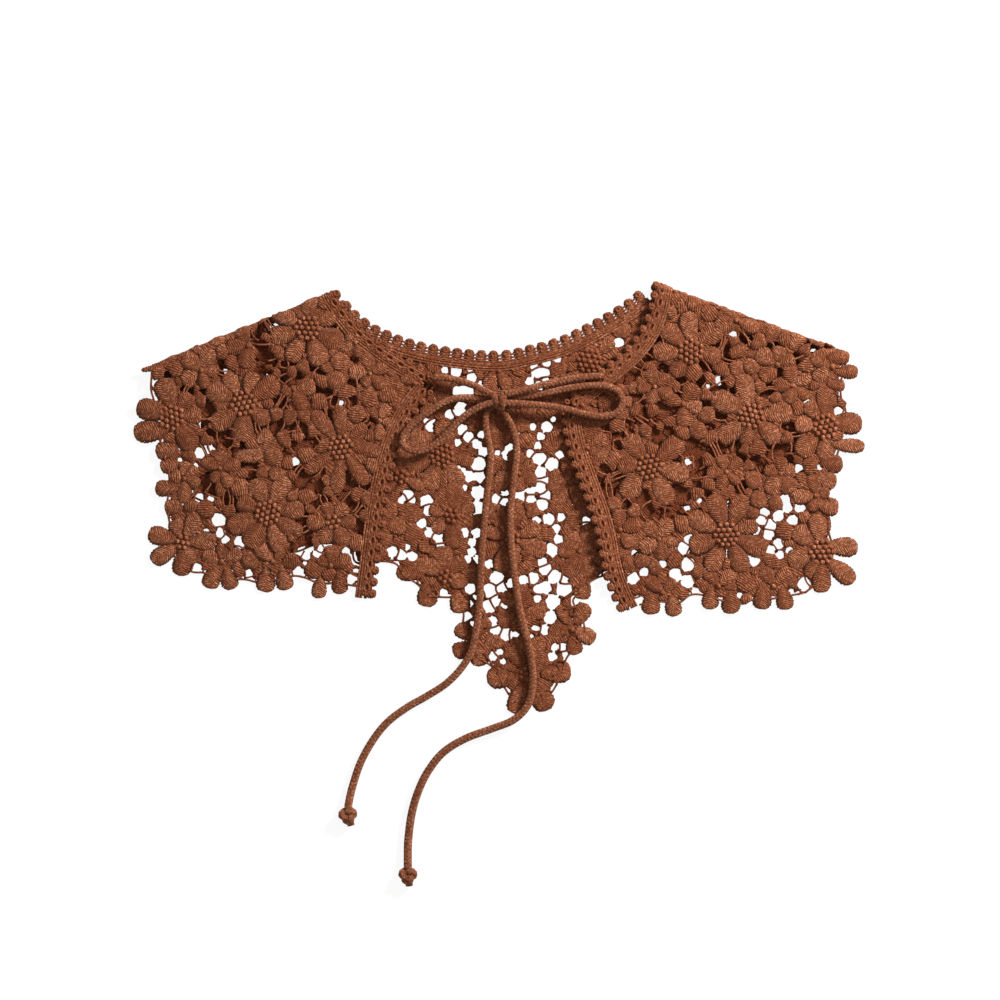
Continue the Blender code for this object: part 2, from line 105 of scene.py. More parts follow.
# Trim edges through the picot tips: x, y
BACK_NECK = [
    (-102.7, 132.8), (-87, 115.5), (-67.5, 104.6), (-47, 98.2), (-23.4, 94.4), (0, 92.8),
    (19, 96.4), (40, 102.5), (62, 113.5), (80, 124.5), (97, 138.6),
]
FRONT_NECK_LEFT = [
    (-102.7, 132.2), (-95, 120.6), (-85.4, 109.1), (-74.6, 100.2), (-61.8, 91.2), (-47, 82.4),
    (-33.6, 71.4),
]
FRONT_NECK_RIGHT = [
    (98.2, 136.6), (95.7, 121.9), (90.6, 108.5), (81.6, 96.3), (70.1, 86.1), (58.6, 76.5),
    (47, 67.5), (39.4, 58.6),
]
FRONT_EDGE_LEFT = [
    (-33.6, 71.4), (-43.5, 62), (-52, 51.5), (-58.8, 38.7), (-64, 24), (-68, 6.7), (-71, -9.3),
    (-73.5, -27.2), (-75.6, -44.5), (-78.6, -66.9),
]
FRONT_EDGE_RIGHT = [
    (39.4, 58.6), (39.6, 47), (41.3, 35.5), (44.8, 22.7), (49.4, 9.9), (54.1, -2.9), (58.6, -15.7),
    (61.9, -28.5), (64.2, -41.3), (67.2, -53.5), (71.6, -65), (77.1, -76.4),
]

# Hem and side edges where the outer petals start: x, y
FRONT_HEM_LEFT = [
    (-91, -58), (-104, -56), (-115, -56), (-124, -52.5), (-132, -51.5), (-143, -54), (-154, -55.5),
    (-160, -54), (-166, -53.5), (-178, -54), (-188, -49.5), (-197, -48.5), (-206, -41),
    (-210, -31), (-210, -20), (-212, -8), (-211, 2), (-210.5, 12), (-213, 22), (-216, 33),
    (-218, 48), (-220, 60), (-222, 68), (-221.5, 78), (-222, 90),
]
FRONT_HEM_RIGHT = [
    (90, -70), (103, -68), (115, -69), (122, -64), (129, -63.5), (142, -67), (156, -69.5),
    (162, -67), (176, -66), (187, -64), (197, -61.5), (205, -54), (212, -46), (214, -34),
    (211.5, -24), (211, -15), (213, -6), (210, 2), (213, 12), (216, 24), (219, 34), (221, 46),
    (222, 54), (219, 63), (219, 72), (220, 82), (218, 92), (215, 100),
]
BACK_HEM = [
    (214, 100), (213.5, 76), (212.5, 50), (211, 24), (199, 8), (176, 0.5), (152, -4), (128, -11),
    (106, -22), (88, -37), (72, -49), (60, -54), (54, -61), (47.5, -67), (52, -76), (55, -86),
    (49, -97), (43.5, -104), (41, -112), (34, -126), (24, -133), (12, -133), (4, -123), (-1, -113),
    (-6, -108), (-13, -104), (-22, -98), (-20.5, -90), (-22.5, -82), (-22.5, -74), (-28, -66),
    (-36, -65), (-45, -64), (-52, -56.5), (-61, -51), (-65, -44), (-75, -42), (-84, -44),
    (-92, -42), (-95, -31), (-108, -30.5), (-118, -31.5), (-130, -36), (-142, -34), (-154, -27),
    (-164, -21), (-172, -12), (-182, -6), (-196, 0), (-210, 17), (-213, 48), (-216, 68),
    (-219, 90),
]

# Petals that stand out past those edges: x and y of the tip, width, direction in degrees, length
TIPS_LEFT = [
    (-101.7, -63.2, 11, -90, 14), (-115.5, -66, 10, -97, 14), (-135.8, -60.8, 11.5, -78, 14),
    (-149.7, -62, 12.5, -97, 15), (-171, -60.3, 11.5, -78, 14), (-185.5, -59.7, 12, -107, 15),
    (-203, -51.7, 12.5, -93, 17), (-222, -42.5, 12, -147, 20), (-224.3, -24, 12.5, 165, 19),
    (-213.7, -8, 11, 180, 12), (-219.8, 4.5, 11, 180, 15), (-216.3, 17.5, 10, 195, 12),
    (-219.5, 27.5, 12, 190, 15), (-233.7, 39.5, 14.5, 188, 24), (-231.8, 56.5, 14.5, 168, 22),
    (-228.5, 80.8, 4.5, 185, 12),
]
TIPS_RIGHT = [
    (97.3, -76.4, 12.5, -92, 14), (112.5, -77.6, 11, -83, 14), (134.8, -73, 11.5, -97, 14),
    (148.7, -75.8, 12.5, -88, 15), (168.5, -73, 12.5, -92, 15), (184.3, -73.3, 11.5, -78, 15),
    (206.4, -62.4, 13, -90, 20), (227.6, -55.6, 12.5, -39, 23), (230, -33.5, 13, -3, 21),
    (217.6, -8.5, 12, -12, 14), (216.3, 8.5, 12, -8, 14), (220.2, 19.5, 12, -5, 15),
    (234.4, 31.3, 9.5, -3, 22), (232.7, 45.5, 14.5, -3, 22), (221.5, 70, 8, -5, 12),
    (229.8, 79, 9.5, 0, 15), (224.2, 89.5, 11.5, 8, 15),
]
TIPS_BACK = [
    (52, -66.5, 12, -105, 14), (39.5, -69.5, 11, 113, 14), (56.5, -69, 11.5, 62, 16),
    (61.8, -93, 11, -30, 15), (49, -102.3, 11, -84, 13), (31.5, -87.5, 11, 185, 13),
    (46.5, -112.5, 14.5, 3, 20), (32, -137.5, 15, -60, 21), (10, -140, 14, -108, 21),
    (-7.5, -117.5, 14.5, 188, 20), (7.5, -94.5, 13, 117, 17), (28, -90.5, 13, 67, 18),
    (-7.5, -78, 11, 66, 15), (2.7, -94, 10, 0, 14), (-11, -109.3, 12, -78, 13),
    (-29, -101.5, 11.5, 208, 13), (-26.8, -83, 11, 138, 13), (17.5, -57, 11, 75, 15),
    (30.5, -75, 11, -5, 15), (17, -89, 9, -75, 14), (0.5, -82, 10, 215, 12), (3, -62, 10, 132, 13),
    (-23.5, -75.5, 13.5, -80, 16), (-46, -71.5, 13.5, -93, 16), (-65.5, -48.5, 11, 172, 18),
]

# Soft ridges in the fronts: x and y of one end, x and y of the other, half width, height
RIDGES = [
    (50, 14, 66, -44, 13, 2.6),
    (112, 88, 186, 38, 20, 1.6),
    (150, -6, 196, -22, 15, 1.1),
    (-62, 10, -72, -34, 11, 1.4),
    (-112, 74, -176, 46, 20, 1.5),
    (-132, -2, -176, 12, 15, 1),
]

# Flowers: x and y of the middle, reach to the petal tips, petal width, rings of bobbles in the
# heart, and the directions of the petals in degrees. Petals that end past a hem are added from
# the tips above.
FLOWERS_LEFT = [
    (-209, 50, 26, 14, 2, (258, 308, 5, 50, 100)),
    (-163, 59, 26, 13, 2, (215, 268, 325, 30, 75, 120, 160)),
    (-101, 31, 30, 10, 2, (90, 132, 175, 218, 262, 310, 355, 42)),
    (-147.5, -11, 27, 13, 2, (200, 245, 290, 325, 10, 65, 115, 160)),
    (-122, 107, 25, 13, 2, (150, 195, 240, 290, 335, 30, 90)),
    (-106, -17, 17, 11, 1, (180, 235, 300, 0, 60, 115)),
    (-178, 17, 14, 9, 0, (90, 162, 234, 306, 18)),
    (-201, 11, 16, 10, 0, (265, 330, 35, 85)),
    (-202, -30, 22, 12, 1, (60, 5, 300, 110)),
    (-177, -42, 14, 10, 0, (90, 20, 165)),
    (-144, -42, 15, 10, 0, (135, 45, 90)),
    (-107, -45, 14, 10, 0, (90, 160, 20)),
    (-190, 80, 15, 11, 0, (70, 140, 215, 290, 0)),
    (-160, 96, 15, 11, 0, (60, 120, 190, 260, 330)),
    (-131, 68, 15, 11, 0, (80, 150, 225, 300, 10)),
    (-82, 78, 14, 10, 0, (30, 100, 175, 245, 315)),
    (-76, 48, 13, 9, 0, (60, 130, 205, 275, 345)),
]
FLOWERS_RIGHT = [
    (96.5, 18.5, 27, 13, 2, (43, 346, 298, 230, 178, 128, 84)),
    (146, -25, 27, 13, 2, (22, 66, 110, 154, 200, 245, 290, 335)),
    (161.5, 51, 27, 13, 2, (213, 155, 103, 50, 5, 319, 265)),
    (209, 44, 26, 13, 2, (85, 125, 170, 226, 268)),
    (207, -36, 24, 13, 2, (193, 139, 92, 240)),
    (123, 92, 25, 13, 2, (180, 345, 43, 229, 92, 288, 135)),
    (213, 82, 15, 10, 0, (150, 215)),
    (203, 0, 15, 10, 0, (100, 180, 250)),
    (105, -62, 14, 10, 0, (140, 45, 90)),
    (141, -58, 14, 10, 0, (130, 50)),
    (176, -58, 14, 10, 0, (130, 50)),
    (178, 84, 15, 11, 0, (80, 150, 225, 300, 10)),
    (118, 58, 15, 11, 0, (60, 130, 205, 275, 345)),
    (76, 62, 14, 10, 0, (60, 130, 205, 275, 345)),
    (152, 112, 15, 11, 0, (60, 130, 205, 275, 345)),
    (78, -22, 14, 10, 0, (90, 162, 234, 306, 18)),
    (180, 14, 15, 11, 0, (90, 162, 234, 306, 18)),
]
FLOWERS_BACK = [
    (-36, 26, 25, 12, 2, (200, 250, 300, 350, 40, 90, 145)),
    (-30, -13, 22, 12, 1, (90, 160, 20, 270, 225, 320)),
    (-34, -52, 22, 12, 1, (150, 100, 45)),
    (-14.5, -94, 15, 11, 0, ()),
    (18, -114, 25, 12, 1, ()),
    (47, -86, 16, 11, 0, ()),
    (13, -73, 16, 12, 0, ()),
    (9, -27, 25, 12, 1, (250, 290, 335, 25, 85, 165)),
    (52, -36, 20, 12, 0, (180, 120, 60, 240, 300)),
    (13, 14, 17, 11, 0, (95, 35, 330, 270, 205, 150)),
    (46, 8, 18, 12, 0, (90, 162, 234, 306, 18)),
    (0, 80, 15, 10, 0, (90, 162, 234, 306, 18)),
    (-14, 52, 13, 9, 0, (60, 130, 205, 345)),
    (12, 54, 14, 11, 0, (0, 72, 144, 216, 288)),
    (-62, 12, 22, 12, 1, (100, 160, 220, 280, 340)),
]

# Single leaves: x, y, length, width, direction in degrees
LEAVES_LEFT = [
    (-160, 25, 19, 10, 0), (-150, 37, 12, 10, 40), (-137, 36, 12, 10, 120), (-134, 50, 11, 10, 80),
    (-141, 14, 12, 10, 200), (-152, 15, 11, 10, 150),
]
LEAVES_RIGHT = [
    (153, 92, 12, 10, 30), (152, 80, 12, 10, 100), (175, 105, 16, 12, 70), (191, 100, 16, 12, 60),
]

# Open windows in single lace, which only bars cross: x, y, reach
WINDOWS_LEFT = [
    (-218, 72, 2), (-219, 64, 3), (-144, 85, 3), (-147, 79, 2.5), (-137, 84, 2.5),
    (-202, 31.5, 3.2), (-191, 27, 3.8), (-186.5, 29.5, 3), (-182, 31, 2.2), (-203.5, 23, 1.6),
    (-189.5, 45, 2.2), (-193.5, 19, 2), (-191, -1.5, 3), (-184, -2, 2.2), (-196.5, 3, 1.8),
    (-179, -16, 4.8), (-178, -24, 3.2), (-175, -28, 3), (-165, -30, 4.2), (-187, -23, 2),
    (-181, -33, 2.4), (-193, -46, 3), (-160, -50, 3), (-159, -54, 2.5), (-128, -49, 3.5),
    (-127.5, -36, 2.2), (-123, -38.5, 3.2), (-113.5, -33.5, 2.4), (-115.5, -37.5, 3),
    (-124, -43.5, 1.6), (-103, -37.5, 1.6), (-97.5, -36, 2.9), (-91, -48, 1.9), (-93.8, -53, 3.2),
    (-130, 22, 2.8), (-80, 25, 2.4), (-74, 15, 3.4), (-101, 59, 1.8), (-175, 79, 1.9),
]
WINDOWS_RIGHT = [
    (77, 98, 3), (63, 84, 3.4), (141, 73.5, 3), (134, 69.5, 1.6), (197.5, 59.5, 2.2),
    (198.5, 55.5, 2.2), (217, 54, 3), (209, 66, 2), (214.5, 61, 1.8), (192, 17, 3), (205, 18, 2.2),
    (191, 40, 2.2), (121.2, 21.3, 2.2), (128.4, -3.4, 2), (120.8, -8, 2), (82, 36, 2.1),
    (150, 103, 2.5), (151, -5, 2), (183, -2, 3.4), (185, -8, 3.4), (193, -8, 3.6), (170, -11, 3.4),
    (179, -13, 3.8), (188, -16, 3.6), (168, -16, 3.2), (174, -19, 4.2), (164, -22, 3.4),
    (173, -25, 3.6), (179, -31, 3.8), (174, -35, 3), (180, -38, 3), (186, -35, 2.3),
    (163, -42, 4.6), (195, -56, 4.4), (187, -62, 2.6), (122, -28, 3.2), (118, -34, 4.6),
    (121, -44, 4.7), (113, -51, 4.5), (121, -55, 4.5), (105, -44, 2.9), (93, -49, 3),
    (86, -53, 4.2), (87, -37, 2.2), (90, -67, 3.2), (126, -62, 3), (154, -64, 2),
]
WINDOWS_BACK = [
    (-24, 55, 4.8), (-31, 52, 3.4), (-43, 45, 4.4), (-46, 48, 2), (-23, 42, 3.6), (-19, 37, 3.6),
    (-14, 33, 3.2), (-11, 39, 2.4), (-26, 34, 2.6), (-10, 28, 3.4), (-13, 20, 4.8), (-24, 17, 3.2),
    (-19, 12, 3.8), (-12, 12, 3.8), (-13, 2, 4.8), (-22, 5, 2.4), (-14, -8, 4.8), (-40, 6, 2.8),
    (-46, -4, 4.5), (-45, -10, 3.3), (-49, -18, 3.4), (-44, -24, 3.6), (-38, -27, 4),
    (-37, -32, 3), (-22, -24, 3.4), (-14, -24, 3.4), (-17, -30, 2.6), (-17, -36, 3),
    (-20, -41, 2.7), (-13, -41, 2.9), (-5, -22, 2.8), (-58, 0, 4), (-62, -3, 2.4), (-55, -3, 2.4),
    (-68, -36, 3.6), (-62, -38, 3.8), (-55, -39, 3.2), (-58, -33, 2), (5.2, 25.8, 3.4),
    (6.5, 29, 2.8), (7.3, 31.6, 2), (-1, 27, 2), (-1, -2, 3.6), (4, 2, 2.6), (4, -4, 2.6),
    (11, 0, 2.2), (11, -6, 2.2), (15, 3, 2.4), (15, -2, 2.4), (21, 3, 3.2), (21, -2, 3.2),
    (28, 10, 4), (27, 5, 3.2), (30, 0, 3.8), (28, -6, 4), (27, 15, 3.8), (34, 20, 4.3),
    (26, 24, 4.6), (20, 27, 2.7), (39, 26, 3), (25, 32, 2.7), (27, 38, 2.8), (31, 44, 3.8),
    (22, 44, 2.5), (35, 49, 2), (24, -16, 3.1), (32, -15, 4.1), (40, -14, 2.8), (37, -21, 3),
    (38, -28, 3.2), (34, -35, 4.7), (44, -32, 3.1), (25, -36, 2.3), (28, -42, 3), (22, -53, 4.2),
    (30, -47, 4.2), (36, -52, 4.4), (30, -59, 4.2), (42, -52, 3.4), (42, -60, 5), (35, -68, 5),
    (26, -60, 3.6), (16, -54, 3.4), (8, -56, 3), (-6, -44, 3.2), (-1, -53, 5), (-5, -61, 5.6),
    (3, -59, 3.4), (-6, -71, 4.6), (-1, -68, 3), (-18, -60, 3.6), (-18, -69.5, 2.4),
    (-19.5, -77, 2.8), (-16.5, -82, 1.8), (-14.5, -65, 1.8), (-4, -80, 3.2), (-35, -62, 2.6),
    (-2, -86, 3.6), (5, -89, 4.3), (4, -70, 2.6), (11, -89, 2.2), (23.5, -85, 2.4),
    (29.5, -86, 3.6), (33, -78, 4.4), (21, -91.5, 2.6), (25, -66, 2.8), (34.5, -103, 3.2),
    (41.5, -97, 3), (42.5, -102, 2.2), (36, -97, 2.4), (-3, -103, 3.2), (1, -100, 2.2),
    (3, -106, 2.2), (47.5, -67.5, 1.6), (56, -16, 2.6), (56, -20, 2.4), (-34.5, 79.7, 2.4),
    (-27, 79.4, 3.8), (-18.5, 80.9, 2), (-17.3, 75.5, 3.4), (-11.3, 71.6, 2.3), (-26, 66.9, 3.4),
    (-22.6, 67, 3.5), (-18.8, 66.3, 3), (22.5, 83, 2.6), (31, 85.3, 3.2), (38, 87, 2.6),
    (24.8, 78.7, 3.8), (29.2, 78.7, 3.8), (20, 73, 3), (26.3, 70.4, 3), (29.8, 72.1, 3.1),
]

# Small gaps beside the fronts' petals, through which the back shows: x, y, reach
GAPS_LEFT = [
    (-147, 108.5, 5), (-153.5, 103, 1.8), (-157, 100.5, 1.8), (-151, 95.5, 3), (-151.5, 86.5, 3),
    (-152.5, 78.5, 2.8), (-145.5, 89, 1.8), (-138, 79, 2.2), (-136, 74, 2.4), (-133.5, 71, 2.4),
    (-133, 84.5, 2.2), (-127.5, 77, 2.2), (-175.5, 79, 2.8), (-177, 85, 1.8), (-172.5, 73, 1.6),
    (-183.5, 90, 1.8), (-212, 77.5, 2.2), (-199, 67, 3.2), (-188.5, 65.5, 2), (-186, 60, 1.8),
    (-185, 54, 3), (-188.5, 49, 3.2), (-139.5, 59.5, 4), (-178, 38, 3.2), (-184.5, 39.5, 2.2),
    (-172, 39, 2), (-173, 34, 2.4), (-153, 43, 3), (-155, 48.5, 1.8), (-143, 42.5, 3.6),
    (-139, 45.5, 2.8), (-157, 16.5, 3.6), (-162.5, 19, 2), (-158, 10.5, 2.4), (-187, 7.5, 4.2),
    (-185, 11, 2.6), (-173, -2.5, 4), (-166, -9, 2.6), (-182.5, 2, 1.8), (-152, 5, 2),
    (-168.5, 29, 1.8), (-164, 32, 1.6), (-128, 44, 3.2), (-132.5, 43, 2.6), (-123.5, 33, 3),
    (-124, 40.5, 2), (-117.5, 34, 2.6), (-131, 32, 2.6), (-136, 27.5, 2), (-128.5, 15.5, 2.8),
    (-122.5, 13, 2.4), (-125, 7, 3.4), (-115, 14, 3), (-132, 5.5, 2.6), (-117, 6, 4.2),
    (-111.5, -3, 2.8), (-118, -5.5, 2.4), (-105, 48, 2.2), (-110.5, 52.5, 2.8), (-86.5, 44.5, 3),
    (-79.5, 49, 1.8), (-73.5, 53.5, 1.8), (-93.5, 58.5, 1.8), (-96, 12.5, 2), (-96, 6.5, 3),
    (-91.5, 7.5, 2.2), (-85.5, 6.5, 2.6), (-98.5, -0.5, 3.4), (-97, -5, 2.5), (-91, -8.5, 3.2),
    (-76.5, -8, 2), (-71, -8, 1.8), (-70.5, 28, 2.6), (-107, 107, 2), (-102.5, 103, 1.8),
    (-92, 87, 1.6), (-79, 80.5, 1.6), (-119, 82.5, 2.2), (-113.5, 78, 1.8), (-93, 72, 2.4),
    (-89.5, 73, 1.8), (-116, 67.5, 2), (-109.5, 65, 2.2), (-108.5, 61, 2), (-105, 60.5, 2),
    (-97.5, 59, 1.8), (-94, 61, 2.2), (-125, -14, 3.6), (-122.5, -21.5, 2.8), (-124, -29.5, 3.6),
    (-122, -32.5, 2.8), (-132.5, -33.5, 2.4), (-109.5, -31, 2), (-89.5, -20, 3.4), (-77.5, -14, 2),
    (-79, -20, 2.6), (-81.5, -27, 2.4), (-86, -24.5, 2), (-89.5, -40, 3.4), (-74, -23, 1.8),
]
GAPS_RIGHT = [
    (92, 53, 2.4), (91.5, 48.5, 3.4), (102, 49.5, 2.4), (107.5, 53, 3.2), (83, 45, 2.6),
    (82, 39.5, 3.2), (98.5, 44, 2), (108, 41, 2.8), (100.5, 38, 3.4), (100, 34.5, 2.4),
    (75, 38, 2.2), (76.5, 32.5, 2.6), (69, 43.5, 2), (124, 33.5, 2.8), (127.5, 29, 4),
    (120, 27.5, 2.4), (115, 22, 2.6), (128, 21.5, 2.6), (68, 17, 2.2), (66, 11.5, 2.2),
    (77, 13, 4.2), (74.5, 7, 2.2), (69.5, 2.5, 4.2), (92.5, 0.5, 2.2), (113, 2.5, 3.4),
    (119.5, 0.5, 3), (126.5, 12.5, 3.6), (126.5, 7, 2.6), (92.5, -5, 3.8), (95, -11.5, 3.8),
    (82, -6, 2.6), (113, -6.5, 3.8), (103.5, -12, 2.4), (108.5, -12.5, 2.4), (117.5, -11, 2.2),
    (127.5, -11, 2.4), (70, -13, 2), (141, 50.5, 3.2), (134.5, 43.5, 2.4), (139, 29, 4.6),
    (151, 32, 3.4), (155, 37, 1.6), (172, 34, 2.8), (178.5, 27, 4.2), (184, 30.5, 2.4),
    (188, 31, 2.4), (186, 22.5, 2.4), (184.5, 44.5, 2.4), (190.5, 40.5, 3.8), (155, 24, 2.4),
    (165, 22, 3), (171, 23.5, 2.8), (168.5, 17.5, 2.6), (132.5, 14.5, 2.2), (155, 5, 3.2),
    (133, 1, 2), (148, -6, 2.4), (102.5, 97.5, 2.2), (94.5, 97, 1.6), (97.5, 91.5, 2.2),
    (95, 87.5, 2.4), (90, 83, 2.4), (79, 81, 2), (88, 79, 2), (84, 77, 3), (76.5, 72, 3),
    (81, 73, 2), (86, 62, 2.4), (90.5, 60.5, 3), (103, 57, 1.8), (113, 54.5, 2.2),
    (105, 80.5, 2.6), (114, 82.5, 2.6), (116.5, 73, 2.2), (118, 69.5, 1.8), (116, 64, 1.8),
    (129.5, 73, 2.6), (159, 101.5, 3.8), (142.5, 95.5, 4.4), (177, 102, 2.2), (173.5, 94.5, 2),
    (177, 95.5, 2.2), (195.5, 99, 2.6), (201, 93.5, 2.4), (191.5, 87.5, 3), (210, 97, 2),
    (147, 86, 2.8), (132, 82, 3.2), (137.5, 77.5, 1.6), (143, 69.5, 2.2), (136.5, 67, 1.8),
    (179, 78.5, 2), (173, 67.5, 3.2), (170, 63, 2), (150.5, 68, 2), (132.5, 58.5, 2.2),
]

# Routes of the cord's stretches, as in the part: x, y, z
STRING_LEFT = [
    (-41, 75.6, 7.3), (-34, 75, 7.3), (-25.5, 73.6, 7.6), (-17.5, 71, 8.2), (-11, 68, 9.4),
    (-4, 64.4, 10.3),
]
STRING_RIGHT = [
    (66.5, 76.4, 7.3), (58, 76, 7.3), (48.5, 74.9, 7.5), (39.5, 73.3, 8.2), (31, 71.4, 9.2),
    (22, 69, 9.9), (13, 66.6, 10.3), (4, 64.6, 10.4),
]
BOW_LOOP_LEFT = [
    (-3, 61.2, 6), (-12, 62.2, 6.2), (-20, 62.6, 6.8), (-28, 62, 7.3), (-35.5, 59.2, 7.6),
    (-42, 55, 7.7), (-49, 50.2, 7.7), (-55.8, 44.8, 7.7), (-60.4, 38.8, 7.7), (-61, 32.8, 7.7),
    (-56.8, 29, 7.7), (-50, 28.4, 7.7), (-42.6, 31.2, 7.7), (-35, 37.4, 7.7), (-28.5, 44.6, 7.8),
    (-22, 50.6, 8.2), (-15.5, 54.8, 9), (-9.5, 57.6, 9.7), (-3, 59.8, 9.9),
]
BOW_LOOP_RIGHT = [
    (3, 60.8, 5.4), (13.5, 62.6, 5.5), (23, 64, 5.9), (33, 66, 6.6), (43, 68.2, 7.3),
    (53.4, 69.8, 7.7), (63.5, 70.4, 7.7), (71.6, 69.2, 7.7), (77.2, 65.6, 7.7), (79.2, 60.2, 7.7),
    (77, 54.6, 7.7), (71.6, 51.2, 7.7), (64, 50.6, 7.7), (54.6, 52.2, 7.8), (44.5, 55, 8.1),
    (33, 57, 8.7), (21, 58.2, 9.2), (11, 58.8, 9.3), (3, 59.2, 9.3),
]
TAIL_LEFT = [
    (-3, 59, 5.2), (-7.2, 53.4, 4.9), (-8.2, 46.4, 4.8), (-7, 38, 4.8), (-5.2, 28.5, 4.8),
    (-5.2, 19, 4.8), (-6.6, 8, 4.8), (-8, -5, 4.8), (-9.3, -20.8, 4.8), (-10.6, -35, 4.8),
    (-11.3, -51, 4.8), (-12, -67, 4.8), (-13.8, -83, 4.8), (-17, -98.6, 4.8), (-23.8, -110.4, 4.8),
    (-33.6, -120.4, 3.7), (-46, -128.4, 2.6), (-59.2, -136, 2.5), (-71.4, -145.4, 2.5),
    (-81, -157.6, 2.5), (-88.6, -171.8, 2.5), (-93.6, -187, 2.6), (-95.8, -197, 4),
    (-96.2, -201, 4.6),
]
TAIL_RIGHT = [
    (1.6, 58.4, 5.2), (4.6, 51.8, 4.9), (8.4, 44.6, 4.8), (11, 36, 4.8), (11.6, 26.5, 4.8),
    (10.4, 15, 4.8), (8.8, 2, 4.8), (7.7, -12, 4.8), (7.9, -27, 4.8), (9.2, -42, 4.8),
    (11, -56, 4.8), (13, -70, 4.8), (16.2, -84, 4.8), (20, -98, 4.8), (21.8, -111, 4.8),
    (21.6, -123.5, 4.8), (18.2, -135, 4.8), (9, -143.8, 4.8), (-5, -149.4, 3.6),
    (-21, -155.4, 2.6), (-35, -164, 2.5), (-44.8, -176, 2.5), (-51.4, -189.4, 2.5),
    (-55.6, -204, 2.5), (-57.7, -220, 2.5), (-58, -231, 3.2), (-57.9, -239, 4.6),
]
BOW_KNOT = (0, 60.8, 7.7)
TAIL_KNOT_LEFT = (-96.3, -204, 4.9)
TAIL_KNOT_RIGHT = (-57.9, -242.4, 4.9)


# Settings


def linear(hex_colour):
    """An sRGB hex colour as Blender's linear values."""
    parts = [int(hex_colour[i:i + 2], 16) / 255 for i in (1, 3, 5)]
    return tuple(p / 12.92 if p < 0.04045 else ((p + 0.055) / 1.055) ** 2.4 for p in parts)


class LaceSettings(PropertyGroup):
    """Sizes and colour of the lace."""

    colour: FloatVectorProperty(
        name="Lace colour", description="Cotton of the petals, bars and trims",
        subtype="COLOR", size=3, min=0, max=1, default=linear("#9F6041"))
    rib: FloatProperty(
        name="Rib spacing", description="Distance between the satin ribs of a petal",
        unit="LENGTH", default=0.0019)
    bar: FloatProperty(
        name="Bar thickness", description="Thickness of the bars that join the flowers",
        unit="LENGTH", default=0.0015)
    mesh: FloatProperty(
        name="Net spacing", description="Distance between the middles of the net's cells",
        unit="LENGTH", default=0.0072)
    bobble: FloatProperty(
        name="Bobble size", description="Diameter of a bobble in a flower's heart",
        unit="LENGTH", default=0.0035)
    seed: IntProperty(
        name="Variation", description="Which of the small uneven variations is made", default=7)


class CordSettings(PropertyGroup):
    """Sizes and colour of the tie cord."""

    colour: FloatVectorProperty(
        name="Cord colour", description="Cotton of the knitted cord",
        subtype="COLOR", size=3, min=0, max=1, default=linear("#975E42"))
    stitch: FloatProperty(
        name="Stitch length", description="Length of one stitch along the cord",
        unit="LENGTH", default=0.0026)


class StageSettings(PropertyGroup):
    """Lamp, room light and lens."""

    lamp: FloatProperty(
        name="Lamp power", description="Power of the soft lamp on the upper right",
        unit="POWER", default=42.0)
    room: FloatProperty(
        name="Room light", description="Strength of the even light from all round", default=0.33)
    lens: FloatProperty(
        name="Lens", description="Focal length of the camera", unit="CAMERA", default=200.0)


# Lines in the pattern, as the part draws them


def along(line):
    """Arc length from the start of a line to each of its points."""
    return np.concatenate([[0.0], np.cumsum(np.linalg.norm(np.diff(line, axis=0), axis=1))])


def unit(vectors, least=0.0):
    """The vectors at length 1, where one shorter than least is only divided by that."""
    return vectors / np.maximum(np.linalg.norm(vectors, axis=-1, keepdims=True), least)


def lattice(axes):
    """Every point that takes its x from the first axis and its y from the second."""
    return np.stack(np.meshgrid(*axes, indexing="ij"), axis=-1)


def staggered(low, high, pitch):
    """Points in rows 0.87 of the pitch apart, every other row half a pitch along."""
    for k, y in enumerate(np.arange(low[1], high[1], pitch * 0.87)):
        for x in np.arange(low[0] + pitch / 2 * (k % 2), high[0], pitch):
            yield x, y


def spaced(line, step):
    """The line read again at even steps of about this length."""
    run = along(line)
    places = np.linspace(0, run[-1], max(2, round(run[-1] / step) + 1))
    return np.stack([np.interp(places, run, column) for column in line.T], axis=1)


def smooth(points, step):
    """Even points on the Catmull-Rom curve through the given ones."""
    given = np.array(points, float)
    ends = 2 * given[0] - given[1], 2 * given[-1] - given[-2]
    ringed = np.vstack([ends[0], given, ends[1]])
    t = np.linspace(0, 1, 24, endpoint=False)[:, None]
    spans = [
        b + t / 2 * (c - a + t * (2 * a - 5 * b + 4 * c - d + t * (3 * b - a - 3 * c + d)))
        for a, b, c, d in zip(ringed, ringed[1:], ringed[2:], ringed[3:])
    ]
    return spaced(np.vstack([*spans, given[-1]]), step)


def right_of(line):
    """Unit normals on the right of a line's run."""
    ahead = unit(np.gradient(line, axis=0))
    return np.stack([ahead[:, 1], -ahead[:, 0]], axis=1)


def mitre(neck, edge, inward):
    """The way in that halves the corner of the neck and the front edge, and the unit way
    across it towards the edge."""
    neck_normal, edge_normal = inward * right_of(neck)[-1], inward * right_of(edge)[0]
    halving = (neck_normal + edge_normal) / (1 + neck_normal @ edge_normal)
    across = unit(np.array([-halving[1], halving[0]]))
    return halving, across * np.sign(across @ (edge[1] - edge[0]))


def border(neck, edge, inward, distance):
    """The neck and front edges moved inwards by a distance, up to the mitre at their corner."""
    halving, across = mitre(neck, edge, inward)
    corner = neck[-1] + distance * halving
    moved_neck = neck + distance * inward * right_of(neck)
    moved_edge = edge + distance * inward * right_of(edge)
    moved_neck = moved_neck[(moved_neck - corner) @ across < -0.5]
    moved_edge = moved_edge[(moved_edge - corner) @ across > 0.5]
    return np.vstack([moved_neck, corner]), np.vstack([corner, moved_edge])


